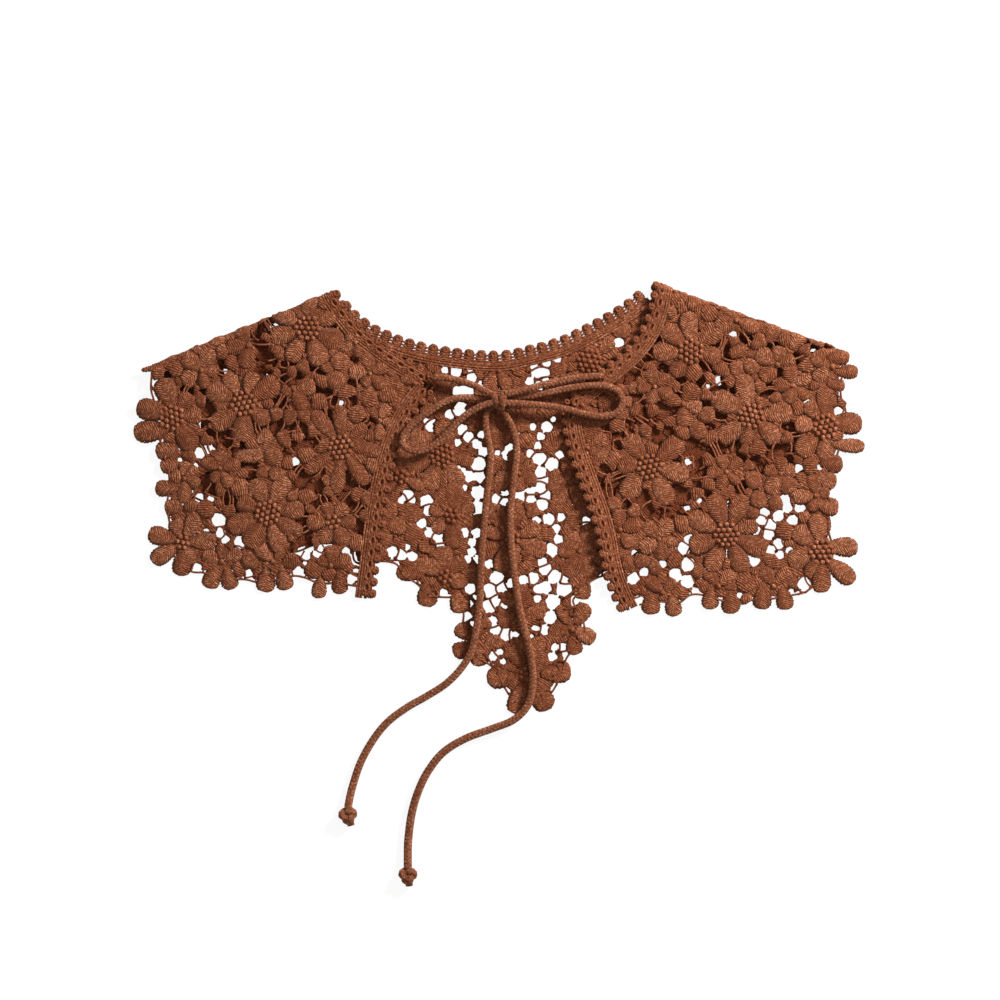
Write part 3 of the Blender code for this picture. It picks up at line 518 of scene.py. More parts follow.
def signed_distance(points, outline):
    """Distance from each point to a closed outline: above 0 outside it, below 0 inside."""
    near, odd = np.full(len(points), np.inf), np.zeros(len(points), bool)
    for start, end in zip(outline, np.roll(outline, -1, axis=0)):
        side, offset = end - start, points - start
        share = np.clip(offset @ side / max(side @ side, 1e-12), 0, 1)
        near = np.minimum(near, np.linalg.norm(offset - share[:, None] * side, axis=1))
        if side[1] != 0:
            level = (start[1] > points[:, 1]) != (end[1] > points[:, 1])
            odd ^= level & (offset[:, 0] < offset[:, 1] * side[0] / side[1])
    return np.where(odd, -near, near)


def read_grid(grid, low, step, points):
    """Values between a grid's corners, by shares along both sides."""
    at = np.clip((points - low) / step, 0, np.array(grid.shape) - 1.001)
    i, j = at.astype(int).T
    u, v = (at - at.astype(int)).T
    return ((grid[i, j] * (1 - u) + grid[i + 1, j] * u) * (1 - v)
            + (grid[i, j + 1] * (1 - u) + grid[i + 1, j + 1] * u) * v)


# Where the pattern lies in space


class Fold:
    """A straight fold: a point on the line where its roll starts, and the way into the panels."""

    def __init__(self, neck, end):
        neck, end = np.array(neck), np.array(end)
        run = unit(end - neck)
        down = np.array([run[1], -run[0]])
        self.inward = down if down[1] < 0 else -down
        self.point = neck + self.inward * (FOLD_RADIUS + LACE / 2)

    def inside(self, points):
        """How far points lie inside the line: below 0 past it."""
        return (points - self.point) @ self.inward

    def cut(self, line, distance=0.0):
        """The part of a line that is at least this far inside."""
        inside = self.inside(line) - distance
        kept = line[inside >= 0]
        crossing = np.flatnonzero((inside[:-1] < 0) != (inside[1:] < 0))
        if len(crossing) == 0:
            return kept
        i = crossing[0]
        at = line[i] + inside[i] / (inside[i] - inside[i + 1]) * (line[i + 1] - line[i])
        return np.vstack([at, kept] if inside[0] < 0 else [kept, at])

    def over(self, start):
        """Pattern points from one on the line, straight out over the fold to the wall's end."""
        rows = np.linspace(0, math.pi * FOLD_RADIUS + FOLD_LAP, 9)[1:]
        return start - rows[:, None] * self.inward


def back_outline():
    """The back panel's outline, from the neck's left end round by the hem."""
    left, right = Fold(*FOLD_LEFT), Fold(*FOLD_RIGHT)
    short = FOLD_LAP + SEAM
    neck = smooth(BACK_NECK, NECK_STEP)
    top = neck + (TRIM + SEAM) * right_of(neck)
    hem = smooth(BACK_HEM, PART_HEM_STEP)
    return np.vstack([right.cut(left.cut(line, short), short) for line in (top, hem)])


class FrontSurface:
    """The middle of a front's wall, from its flat pattern to its place in space.

    Inside the fold's line the pattern lies at front_height: 3.5 mm on the back, easing to
    1.2 mm past the back's hem, swelling up to the roll by a bell curve, plus the soft ridges.
    Outside the line it turns round a half circle and runs back under itself.
    """

    STEP = 2.0

    def __init__(self, fold, low, high):
        self.fold = fold
        self.low = np.array(low, float)
        counts = np.ceil((np.array(high) - low) / self.STEP).astype(int) + 2
        axes = [a + self.STEP * np.arange(n) for a, n in zip(self.low, counts)]
        self.grid = self.height(lattice(axes).reshape(-1, 2)).reshape(counts)

    def height(self, points):
        """The height inside the line, as the class describes it."""
        past = np.clip(signed_distance(points, back_outline()), 0, None)
        t = np.clip((past - HEM_DROP_START) / (HEM_DROP_END - HEM_DROP_START), 0, 1)
        level = FRONT_LEVEL + (HEM_LEVEL - FRONT_LEVEL) * t * t * (3 - 2 * t)
        swell = np.exp(-((np.clip(self.fold.inside(points), 0, None) / FOLD_SWELL) ** 2))
        lift = np.zeros(len(points))
        for x1, y1, x2, y2, half_width, height in RIDGES:
            start, side = np.array([x1, y1]), np.array([x2 - x1, y2 - y1])
            share = np.clip((points - start) @ side / (side @ side), 0, 1)
            away = np.linalg.norm(points - start - share[:, None] * side, axis=1)
            lift += height * np.exp(-((away / half_width) ** 2))
        top = BACK_LEVEL + 2 * FOLD_RADIUS
        return level + (top - level) * swell + lift * (1 - swell)

    def __call__(self, pattern):
        inside = self.fold.inside(pattern)
        foot = pattern - inside[:, None] * self.fold.inward
        turn = np.clip(-inside / FOLD_RADIUS, 0, math.pi)
        under = np.clip(-inside - math.pi * FOLD_RADIUS, 0, None)
        plan_inside = np.clip(inside, 0, None) + under - FOLD_RADIUS * np.sin(turn)
        plan = foot + plan_inside[:, None] * self.fold.inward
        rolled = BACK_LEVEL + FOLD_RADIUS * (1 + np.cos(turn))
        level = read_grid(self.grid, self.low, self.STEP, plan)
        return np.column_stack([plan, np.where(inside > 0, level, rolled)])


def back_surface(pattern):
    """The middle of the back's wall, which lies level."""
    return np.column_stack([pattern, np.full(len(pattern), BACK_LEVEL)])


def place(surface, pattern, lift):
    """Points on the surface at these pattern places, moved by lift along its normals."""
    step = 0.25
    at = surface(pattern)
    normal = np.cross(surface(pattern + (step, 0)) - at, surface(pattern + (0, step)) - at)
    return at + unit(normal) * lift[:, None]


# Meshes


class Body:
    """Collects closed shapes of one piece: rings of points joined by quads and capped."""

    def __init__(self):
        self.points, self.faces, self.uv = [], [], []
        self.values = {"crest": [], "shade": [], "rib": []}
        self.count = 0

    def add(self, points, uv, crest, shade, rib=0.0, closed=False):
        """Adds P tubes at once. points is (P, rows, around, 3), with uv in mm beside it.

        Quad (r, c) joins points c and c + 1 of rings r and r + 1. An open tube gets a flat cap
        on each end; a closed one joins its last ring to its first. The material reads the painted
        light, from 0 for painted shade deep down to 1 on top, shade, one number a tube, and rib,
        the depth of its ribs.
        """
        tubes, rows, around, _ = points.shape
        start = self.count + np.arange(tubes)[:, None, None] * rows * around
        row = np.arange(rows if closed else rows - 1)[None, :, None]
        column = np.arange(around)[None, None, :]
        here, there = row * around, (row + 1) % rows * around
        across = (column + 1) % around
        corners = [start + here + column, start + here + across,
                   start + there + across, start + there + column]
        quads = np.stack(np.broadcast_arrays(*corners), axis=-1).reshape(-1, 4)
        faces = [quads]
        if not closed:
            first = start[:, 0] + np.arange(around)[::-1]
            last = start[:, 0] + (rows - 1) * around + np.arange(around)
            faces += [first, last]
        flat = points.reshape(-1, 3)
        if signed_volume(flat, quads - self.count) < 0:
            faces = [f[:, ::-1] for f in faces]
        self.faces += faces
        uv = np.broadcast_to(uv, (*points.shape[:3], 2)).reshape(-1, 2)
        values = [np.broadcast_to(value, points.shape[:3]).ravel()
                  for value in (crest, np.reshape(shade, (-1, 1, 1)), rib)]
        self.keep(flat, uv, values)

    def lay(self, surface, pattern, height, *values, **more):
        """Adds tubes given by their places in the pattern and heights over the surface."""
        points = place(surface, pattern.reshape(-1, 2), height.ravel())
        self.add(points.reshape(*pattern.shape[:3], 3), *values, **more)

    def keep(self, points, uv, values):
        """Keeps points, with uv in mm and the painted light, shade and rib that the material reads.
        """
        self.points.append(points)
        self.uv.append(uv)
        for label, value in zip(self.values, values):
            self.values[label].append(value)
        self.count += len(points)

    def darken(self, share):
        """Sets the painted light of all points so far to a share of what it was, which darkens
        them.
        """
        self.values["crest"] = [share * crest for crest in self.values["crest"]]

    def add_sheet(self, top, bottom, quads, uv, values):
        """Adds a thin sheet: quads over the top points, turned under the bottom ones, with
        walls round its rims."""
        edges = np.concatenate([quads[:, [k, (k + 1) % 4]] for k in range(4)])
        forth, back = (edges @ pair for pair in ((len(top), 1), (1, len(top))))
        a, b = edges[~np.isin(back, forth)].T
        under = len(top)
        walls = np.column_stack([b, a, a + under, b + under])
        self.faces += [self.count + f for f in (quads, quads[:, ::-1] + under, walls)]
        self.keep(np.vstack([top, bottom]), np.tile(uv, (2, 1)), [np.tile(v, 2) for v in values])

    def shadow(self, outlines):
        """Darkens what lies under these outlines, where two layers shut out the light."""
        points = np.concatenate(self.points)[:, :2]
        deep = np.min([signed_distance(points, outline) for outline in outlines], axis=0)
        share = np.interp(deep, [-6.0, 2.5], [0.3, 1.0])
        self.values["crest"] = [np.concatenate(self.values["crest"]) * share]

    def object(self, name, material):
        """The collected shapes as one object, in metres, shaded smooth."""
        # What would dip below the floor is pressed flat on it
        points = np.maximum(np.concatenate(self.points), (-np.inf, -np.inf, 0.05)) * 0.001
        sizes = np.concatenate([np.full(len(f), f.shape[1]) for f in self.faces])
        corners = np.concatenate([f.ravel() for f in self.faces]).astype(np.int32)
        mesh = bpy.data.meshes.new(name)
        mesh.vertices.add(len(points))
        mesh.vertices.foreach_set("co", points.ravel())
        mesh.loops.add(len(corners))
        mesh.loops.foreach_set("vertex_index", corners)
        mesh.polygons.add(len(sizes))
        mesh.polygons.foreach_set("loop_start", np.concatenate([[0], np.cumsum(sizes)[:-1]]))
        mesh.update(calc_edges=True)
        mesh.shade_smooth()
        layer = mesh.uv_layers.new(name="Thread")
        layer.data.foreach_set("uv", np.concatenate(self.uv)[corners].ravel())
        for label, parts in self.values.items():
            values = mesh.attributes.new(label, "FLOAT", "POINT")
            values.data.foreach_set("value", np.concatenate(parts))
        mesh.materials.append(material)
        if mesh.validate():
            raise RuntimeError(f"{name}: the mesh had faults")
        made = bpy.data.objects.new(name, mesh)
        bpy.context.scene.collection.objects.link(made)
        return made


def settle(piece, node):
    """Fixes a piece to the body in place of its plain CAD solid."""
    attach(piece, BODY)
    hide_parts(node)


def signed_volume(points, quads):
    """Six times the volume inside the quads, below 0 where they face inwards."""
    a, b, c, d = (points[quads[:, i]] for i in range(4))
    return float((np.cross(a, b) * c).sum() + (np.cross(a, c) * d).sum())


# Petals: x and y of the root, direction, length, width, height of the middle, how much the
# tip and the left side stand above it, how far its ribs lean to the tip, tint
ROOT_X, ROOT_Y, ANGLE, LENGTH, WIDTH, LIFT, RISE, ROLL, LEAN, SHADE = range(10)
WIDEST = 0.64  # share of a petal's length where it is widest
ROOT_SHARE = 0.36  # root width as a share of the widest
# Once round a petal: share of the half width, share of the half thickness, painted light (painted
# shade at the rim and underneath), rib
PETAL_SECTION = [(-1.0, -0.25, 0.55, 1.0), (-0.68, 0.5, 0.9, 1.0), (0.0, 1.0, 1.05, 0.6),
                 (0.68, 0.5, 0.9, 1.0), (1.0, -0.25, 0.55, 1.0), (0.0, -0.8, 0.1, 0.2)]
TOOTH = 0.22  # how far every other row of a petal's rim stands out, and the next one in
# Up a round leaf: share of the radius, share of the half thickness, painted light (painted shade at
# the rim and underneath), rib
LEAF_PROFILE = [(0.6, -0.8, 0.1, 0.2), (1.0, -0.2, 0.55, 1.0), (0.84, 0.65, 0.9, 1.0),
                (0.42, 0.95, 1.0, 0.85)]
LEAF_SIDES = 12
LEAF_TURN = np.arange(2 * LEAF_SIDES) * math.pi / LEAF_SIDES  # two directions a side
FLOWER_ROOM = 8.2  # free radius from which a place takes a flower instead of a leaf


def petal_outline(s):
    """Half width at share s of the length, as a share of the widest.

    It rises from the root as a sine to WIDEST and falls to the tip as a plump quarter ellipse.
    """
    rise = ROOT_SHARE + (1 - ROOT_SHARE) * np.sin(np.clip(s / WIDEST, 0, 1) * math.pi / 2)
    ahead = np.clip((s - WIDEST) / (1 - WIDEST), 0, 1)
    fall = (1 - ahead**2.4) ** (1 / 2.2)
    return np.where(s < WIDEST, rise, fall)


def heading(angle):
    """The unit way in the pattern at an angle: cos and sin of it."""
    return np.stack([np.cos(angle), np.sin(angle)], axis=-1)


def add_petals(body, petals, surface, step, random, relief=1.0):
    """Satin-stitched petals, domed along and ridged across.

    At share s of the length and t of the half width a point is s·length out from the root and
    t·outline(s)·width/2 to the side. The rim stands out and in by TOOTH from row to row, where
    the thread turns. relief is the share of the full height and of the painted shade at the rim.
    Painted shade also darkens each petal towards its root and underneath.
    """
    counts = 2 * np.clip(np.round(petals[:, LENGTH] / step), 3, 10).astype(int)
    t, z, crest, rib = np.array(PETAL_SECTION).T
    crest, rib = 1 - (1 - crest) * relief, rib * relief**0.5
    for count in np.unique(counts):
        group = petals[counts == count]
        s = np.linspace(0.01, 0.985, count + 1)
        dome = 0.7 + 0.5 * np.sin(math.pi * s) ** 0.7
        shape = (len(group), count + 1, len(t))
        waver = random.uniform(-1, 1, shape)
        tooth = TOOTH * np.where(np.arange(count + 1) % 2, 1, -1)[:, None] * np.round(t)
        out = group[:, LENGTH, None, None] * s[:, None] + 0.3 * waver * np.abs(t)
        side = (group[:, WIDTH, None, None] / 2 * petal_outline(s)[:, None] * t + tooth
                + 0.2 * random.uniform(-1, 1, shape) * np.abs(t))
        height = (LACE / 2 * z * dome[:, None] * relief + group[:, LIFT, None, None] * relief
                  + group[:, RISE, None, None] * (2 * s[:, None] - 1)
                  + group[:, ROLL, None, None] * t + 0.12 * waver)
        ahead, left = heading(group[:, ANGLE]), heading(group[:, ANGLE] + math.pi / 2)
        root = group[:, [ROOT_X, ROOT_Y]]
        pattern = (root[:, None, None] + out[..., None] * ahead[:, None, None]
                   + side[..., None] * left[:, None, None])
        phase = out - group[:, LEAN, None, None] * np.abs(side) + 10 * group[:, SHADE, None, None]
        # Painted shade towards the root, where the petal meets the heart
        root_painted_shade = (0.6 + 0.4 * np.clip(s / 0.25, 0, 1))[:, None]
        body.lay(surface, pattern, height, np.stack([side, phase], axis=-1), crest * root_painted_shade,
                 group[:, SHADE], rib)


def add_leaves(body, leaves, surface, random, relief=1.0):
    """Round leaves, each a low dome over its own uneven outline.

    leaves holds x, y, direction of the ribs, height, slopes in x and y and tint, then the radii
    in LEAF_SIDES directions. A point lies at share k of the radius in its direction.
    """
    leaves = np.array(leaves)
    middle, angle, lift, slopes, shade, radii = np.split(leaves, [2, 3, 4, 6, 7], axis=1)
    k, z, crest, rib = np.array(LEAF_PROFILE).T
    ring = heading(np.arange(LEAF_SIDES) * 2 * math.pi / LEAF_SIDES)
    crest, rib = 1 - (1 - crest) * relief, rib * relief**0.5
    radii = radii + random.uniform(-0.35, 0.35, radii.shape)
    offset = (k[:, None] * radii[:, None])[..., None] * ring
    thick = relief * np.clip(radii.mean(axis=1) / 4.5, 0.6, 1.1)[:, None, None]
    height = (LACE / 2 * z[:, None] * thick + lift[:, :, None]
              + (offset * slopes[:, None, None]).sum(axis=-1))
    pattern = middle[:, None, None] + offset
    ahead, left = heading(angle[:, 0]), heading(angle[:, 0] + math.pi / 2)
    uv = np.stack([(offset * axis[:, None, None]).sum(axis=-1) for axis in (left, ahead)], axis=-1)
    uv[..., 1] += 10 * shade[:, :, None]
    body.lay(surface, pattern, height, uv, crest[:, None], shade, rib[:, None])


def add_domes(body, middles, radius, surface, low, around=8, shade=0.5, profile=None):
    """Bobbles: rings at steps up a half ball, at radius·cos(a) out and radius·sin(a) up."""
    rise = np.radians([-40.0, 0.0, 38.0, 68.0]) if profile is None else np.array(profile)
    turn = np.arange(around) * 2 * math.pi / around
    ring = heading(turn)
    reach = radius * np.cos(rise)
    pattern = middles[:, None, None] + reach[None, :, None, None] * ring[None, None]
    height = np.broadcast_to((low + radius * np.sin(rise))[None, :, None], pattern.shape[:3])
    uv = np.stack(np.broadcast_arrays(radius * np.abs(turn - math.pi)[None, :],
                                      radius * rise[:, None]), axis=-1)
    uv = uv + 7.3 * np.arange(len(middles))[:, None, None, None]
    # Painted shade on a bobble's lower rings and painted light on its top
    crest = np.clip(0.4 + 0.5 * np.sin(rise), 0, 1)[None, :, None]
    body.lay(surface, pattern, height, uv, crest, shade)


def add_strands(body, lines, radius, surface, lift=0.0, around=5, closed=False, twist=0.0,
                ends=1.0, light=1.0):
    """Thread-covered strands: a circle of the radius carried along lines in the pattern.

    lines is (P, rows, 2). Point c of a ring lies radius·cos(a) beside the line and
    radius·sin(a) above it. twist is the length in which two plies turn once; they swell the
    radius by a share of 0.13·cos(2(a − turn)). ends thickens a strand's two ends, and light is
    the share of its full brightness that is painted on it; below 1 it is painted shade. Each
    strand also gets painted shade in the grooves between its plies and painted light on its top.
    """
    lines = np.asarray(lines, float)
    if closed:
        ahead = np.roll(lines, -1, axis=1) - np.roll(lines, 1, axis=1)
    else:
        ahead = np.gradient(lines, axis=1)
    ahead = unit(ahead, 1e-9)
    left = np.stack([-ahead[..., 1], ahead[..., 0]], axis=-1)
    step = np.linalg.norm(np.diff(lines, axis=1), axis=2)
    run = np.concatenate([np.zeros((len(lines), 1)), np.cumsum(step, axis=1)], axis=1)
    turn = np.arange(around) * 2 * math.pi / around
    rows = lines.shape[1]
    thick = radius * (1 + (ends - 1) * np.abs(np.linspace(-1, 1, rows)) ** 3)
    thick = np.broadcast_to(thick[None, :, None], (*lines.shape[:2], around))
    plies = np.zeros_like(thick)
    if twist:
        plies = np.cos(2 * (turn - run[..., None] * 2 * math.pi / twist))
        thick = thick * (1 + 0.13 * plies)
    pattern = lines[:, :, None] + left[:, :, None] * (thick * np.cos(turn))[..., None]
    height = lift + thick * np.sin(turn)
    uv = np.stack(np.broadcast_arrays(radius * np.abs(turn - math.pi), run[..., None]), axis=-1)
    # Painted light on each strand's top and painted shade in the grooves between its plies, scaled
    # by light
    crest = (np.reshape(light, (-1, 1, 1))
             * np.clip(0.62 + 0.3 * plies + 0.15 * np.sin(turn), 0, 1))
    body.lay(surface, pattern, height, uv, crest, 0.5, closed=closed)


# Laying out a panel on its pattern


class Plan:
    """One panel's pattern as cells, which petals and hearts take one after another."""

    CELL = 0.6

    def __init__(self, outline, trimmed, seed):
        self.outline = outline
        self.random = np.random.default_rng(seed)
        self.low = outline.min(axis=0) - 24
        counts = np.ceil((outline.max(axis=0) + 24 - self.low) / self.CELL).astype(int)
        axes = [a + self.CELL * np.arange(n) for a, n in zip(self.low, counts)]
        self.cells = lattice(axes)
        self.taken = np.zeros(counts, bool)
        coarse = self.cells[::3, ::3]
        self.past = signed_distance(coarse.reshape(-1, 2), outline).reshape(coarse.shape[:2])
        beyond = self.past > 0.6
        # The ground ends short of a hem, but runs right up to the edge under a trim
        flat = coarse.reshape(-1, 1, 2)
        apart = np.min([np.linalg.norm(flat - part, axis=-1).min(axis=1)
                        for part in np.array_split(trimmed, 12)], axis=0)
        self.short = 0.4 + 1.2 * np.clip((apart - 3) / 4, 0, 1).reshape(self.past.shape)
        self.kept = beyond.repeat(3, axis=0).repeat(3, axis=1)[:counts[0], :counts[1]]
        self.petals, self.leaves, self.hearts, self.rims, self.seeds = [], [], [], [], []

    def keep_open(self, windows, wider):
        """Keeps petals off round windows, which become cells of the net, and the ground off
        a little wider ones."""
        for x, y, reach in windows:
            spot = self.window((x, y), reach)
            self.kept[spot] |= np.linalg.norm(self.cells[spot] - (x, y), axis=-1) < reach
            self.seeds.append((x, y, reach, reach + wider))

    def room(self, points):
        """Distance from points to the ground's rim at an edge or a window: above 0 on it.

        The rims waver by waves in x and y.
        """
        room = -read_grid(self.past + self.short, self.low, 3 * self.CELL, points)
        x, y = points.T
        waver = np.sin(1.1 * x + 0.6 * y) * np.sin(0.9 * y - 0.5 * x + 1)
        for at_x, at_y, _, reach in self.seeds:
            room = np.minimum(room, np.hypot(x - at_x, y - at_y) - reach)
        return room + 0.5 * waver

    def hidden(self, points):
        """Whether what has been laid covers the cells round each point."""
        deep = self.taken
        for axis in (0, 1):
            deep = deep & np.roll(deep, 1, axis) & np.roll(deep, -1, axis)
        i, j = ((points - self.low) / self.CELL).round().astype(int).T
        return deep[i, j]

    def cell(self, points):
        """Indices of the cells that points lie in."""
        return tuple(np.moveaxis(((points - self.low) / self.CELL).astype(int), -1, 0))

    def window(self, middle, reach):
        """Slices of the cells within reach of a point along both sides."""
        i, j = ((np.array(middle) - reach - self.low) / self.CELL).astype(int)
        k, m = ((np.array(middle) + reach - self.low) / self.CELL).astype(int) + 2
        return slice(max(i, 0), max(k, 0)), slice(max(j, 0), max(m, 0))

    def covered(self, petal):
        """The window round a petal and which of its cells the petal covers."""
        x, y, angle, length, width = petal[:5]
        spot = self.window((x, y), length + width / 2)
        offset = self.cells[spot] - (x, y)
        s = offset @ heading(angle) / length
        t = np.abs(offset @ heading(angle + math.pi / 2))
        return spot, (s > 0) & (s < 1) & (t < width / 2 * petal_outline(np.clip(s, 0, 1)))

    def overlap(self, petal):
        """Share of a petal on what is laid, where a cell to keep open counts two or three times."""
        spot, mask = self.covered(petal)
        return ((self.taken[spot] | 2 * self.kept[spot]) * mask).sum() / max(mask.sum(), 1)

    def lay(self, x, y, angle, length, width, shrink=True, most=0.3):
        """Lays a petal, drawn in until little of it falls on what is already there."""
        for share in (1.0, 0.92, 0.84, 0.76, 0.68) if shrink else (1.0,):
            petal = (x, y, angle, length * share, width * (0.3 + 0.7 * share))
            if self.overlap(petal) < most:
                break
        else:
            if shrink and self.overlap(petal) > 0.55:
                return
        spot, mask = self.covered(petal)
        self.taken[spot] |= mask
        lift, rise, roll = np.clip(self.random.normal(0, (0.15, 0.35, 0.4)), -0.8, 0.8)
        lean = self.random.uniform(0.3, 0.85)
        self.petals.append((*petal, lift, rise, roll, lean, self.random.random()))
        s = np.linspace(0, 1, 9)
        half = petal[4] / 2 * petal_outline(s)
        middle = np.array([x, y]) + s[:, None] * petal[3] * heading(angle)
        side = heading(angle + math.pi / 2)
        self.rims += [*(middle + half[:, None] * side), *(middle - half[:, None] * side)]

    def heart(self, x, y, radius):
        """Takes the cells of a round heart and keeps twelve points of its rim."""
        spot = self.window((x, y), radius)
        mask = np.linalg.norm(self.cells[spot] - (x, y), axis=-1) < radius
        self.taken[spot] |= mask
        turn = np.linspace(0, 2 * math.pi, 12, endpoint=False)
        self.rims += [*((x, y) + radius * heading(turn))]

    def flower(self, x, y, reach, width, rings, directions):
        """A heart with petals out to the reach."""
        core = (2.0, 4.6, 7.4)[rings]
        self.hearts.append((x, y, rings))
        for direction in directions:
            angle = math.radians(direction + self.random.normal(0, 2.5))
            at = (x, y) + heading(angle) * (core - 0.8)
            length = (reach - core + 0.8) * self.random.uniform(0.94, 1.04)
            self.lay(*at, angle, length, width * self.random.uniform(0.92, 1.08))
        self.heart(x, y, core)

    def leaf(self, middle, largest):
        """The middle and the radii of a leaf grown out to whatever lies round it."""
        reach = np.arange(0.3, largest + 0.3, 0.3)
        blocked = self.taken | self.kept
        for _ in range(3):
            at = middle + reach[:, None, None] * heading(LEAF_TURN)
            hit = blocked[self.cell(at)]
            hit[-1] = True
            first = hit.argmax(axis=0)
            radii = reach[first]
            middle = middle + 0.6 * (radii[:, None] * heading(LEAF_TURN)).mean(axis=0)
        radii = np.minimum(radii, 1.5 * radii.min() + 1.0)
        rim = at[first, np.arange(len(LEAF_TURN))]
        radii += np.where(self.kept[self.cell(rim)], 0.0, 0.5)
        for _ in range(2):
            radii = (np.roll(radii, 1) + 2 * radii + np.roll(radii, -1)) / 4
        return middle, radii

    def fill(self, smallest, largest=6.0, spacing=1.5):
        """Leaves in the widest places left, greatest first, each grown into its neighbours."""
        low, high = self.outline.min(axis=0), self.outline.max(axis=0)
        axes = [np.arange(a, b, spacing) for a, b in zip(low, high)]
        spots = lattice(axes).reshape(-1, 2)
        spots = spots + self.random.uniform(-0.7, 0.7, spots.shape)
        spots = spots[~(self.taken | self.kept)[self.cell(spots)]]
        tree = KDTree(len(self.rims))
        for i, rim in enumerate(self.rims):
            tree.insert((*rim, 0.0), i)
        tree.balance()
        room = np.array([tree.find((*spot, 0.0))[2] for spot in spots])
        for x, y, reach, _ in self.seeds:
            room = np.minimum(room, np.linalg.norm(spots - (x, y), axis=1) - reach)
        while len(room) and room.max() > smallest:
            best = int(room.argmax())
            if room[best] > FLOWER_ROOM:
                middle, reach = spots[best], min(room[best] + 2.5, 14.5)
                first = self.random.uniform(0, 72)
                self.flower(*middle, reach, 0.82 * reach, 0, first + np.arange(5) * 72)
                room = np.minimum(room, np.linalg.norm(spots - middle, axis=1) - reach)
                continue
            middle, radii = self.leaf(spots[best], largest)
            room[best] = 0
            if radii.mean() < smallest + 0.8:
                continue
            rim = middle + radii[:, None] * heading(LEAF_TURN)
            spot = self.window(middle, radii.max())
            offset = self.cells[spot] - middle
            around = np.arctan2(offset[..., 1], offset[..., 0]) % (2 * math.pi)
            limit = np.interp(around, np.append(LEAF_TURN, 2 * math.pi),
                              np.append(radii, radii[0]))
            self.taken[spot] |= np.linalg.norm(offset, axis=-1) < limit
            lift, *slopes = np.clip(self.random.normal(0, (0.15, 0.06, 0.06)), -0.3, 0.3)
            self.leaves.append((*middle, self.random.uniform(0, math.pi), lift, *slopes,
                                self.random.random(), *radii[::2]))
            near = np.linalg.norm(spots - middle, axis=1) < radii.max() + largest + 3
            gap = np.linalg.norm(spots[near, None] - rim, axis=2).min(axis=1) + 0.6
            gap[self.taken[self.cell(spots[near])]] = 0
            room[near] = np.minimum(room[near], gap)

    def grid_flowers(self, pitch, reach, clear):
        """Plain flowers on a staggered grid wherever no flower's middle is near."""
        low, high = self.outline.min(axis=0), self.outline.max(axis=0)
        for spot in staggered(low, high, pitch):
            middle = np.array(spot) + self.random.uniform(-4, 4, 2)
            known = np.array([heart[:2] for heart in self.hearts])
            near = np.linalg.norm(known - middle, axis=1).min()
            if near > clear and signed_distance(middle[None], self.outline)[0] < -8:
                first = self.random.uniform(0, 51)
                self.flower(*middle, reach, 11.5, 2, first + np.arange(6) * 60)

    def net(self, spacing, clear):
        """The walls between jittered cells, as pairs of points: a Voronoi net.

        Each wall joins the circle middles of two neighbouring triangles of the cells' middles.
        Only windows' middles stay where another would lie within clear of a window.
        Walls that petals hide wholly are left out.
        """
        low, high = self.outline.min(axis=0) - 2 * spacing, self.outline.max(axis=0) + 2 * spacing
        seeds = np.array(list(staggered(low, high, spacing)))
        seeds = seeds + self.random.uniform(-0.33, 0.33, seeds.shape) * spacing
        for x, y, reach, _ in self.seeds:
            apart = np.linalg.norm(seeds - (x, y), axis=1)
            seeds = seeds[apart > max(0.72 * spacing, 1.2 * reach, reach + clear)]
        seeds = np.vstack([seeds, np.array(self.seeds)[:, :2]])
        filled = delaunay_2d_cdt([Vector(p) for p in seeds], [], [], 0, 1e-5)
        corners = np.array([tuple(v) for v in filled[0]])
        faces = np.array([f for f in filled[2] if len(f) == 3])
        a, b, c = (corners[faces[:, i]] for i in range(3))
        middles = circle_middles(a, b, c)
        sides = np.concatenate([faces[:, pair] for pair in ([0, 1], [1, 2], [2, 0])])
        sides = np.sort(sides, axis=1)
        owner = np.tile(np.arange(len(faces)), 3)
        order = np.lexsort(sides.T)
        sides, owner = sides[order], owner[order]
        same = (sides[1:] == sides[:-1]).all(axis=1)
        starts, ends = middles[owner[:-1][same]], middles[owner[1:][same]]
        parted = self.parted(sides[1:][same] - (len(corners) - len(self.seeds)))
        starts, ends = starts[parted], ends[parted]
        out = np.array([signed_distance(end, self.outline) for end in (starts, ends)])
        turned = out[0] > out[1]
        starts[turned], ends[turned] = ends[turned], starts[turned]
        out = np.sort(out, axis=0)
        # An end outside is drawn in to the outline, where the hem's bar runs
        share = np.clip((0.3 - out[0]) / np.maximum(out[1] - out[0], 1e-6), 0, 1)
        ends = starts + share[:, None] * (ends - starts)
        inside = out[0] < 0
        long = np.linalg.norm(ends - starts, axis=1) > 0.8
        starts, ends = starts[inside & long], ends[inside & long]
        for _ in range(3):
            starts, ends = self.without_spurs(starts, ends)
        shares = np.linspace(0, 1, 7)[:, None, None]
        at = ((1 - shares) * starts + shares * ends).reshape(-1, 2)
        seen = (self.room(at) < -0.1).reshape(7, -1).any(axis=0)
        return starts[seen], ends[seen]

    def parted(self, pairs):
        """Whether a wall stands between each pair of cells: windows that overlap well are one."""
        seeds = np.array(self.seeds)
        a, b = seeds[np.maximum(pairs, 0)].transpose(1, 0, 2)
        reach = 0.63 * (a[:, 2] + b[:, 2])
        return (pairs < 0).any(axis=1) | (np.linalg.norm(a[:, :2] - b[:, :2], axis=1) > reach)

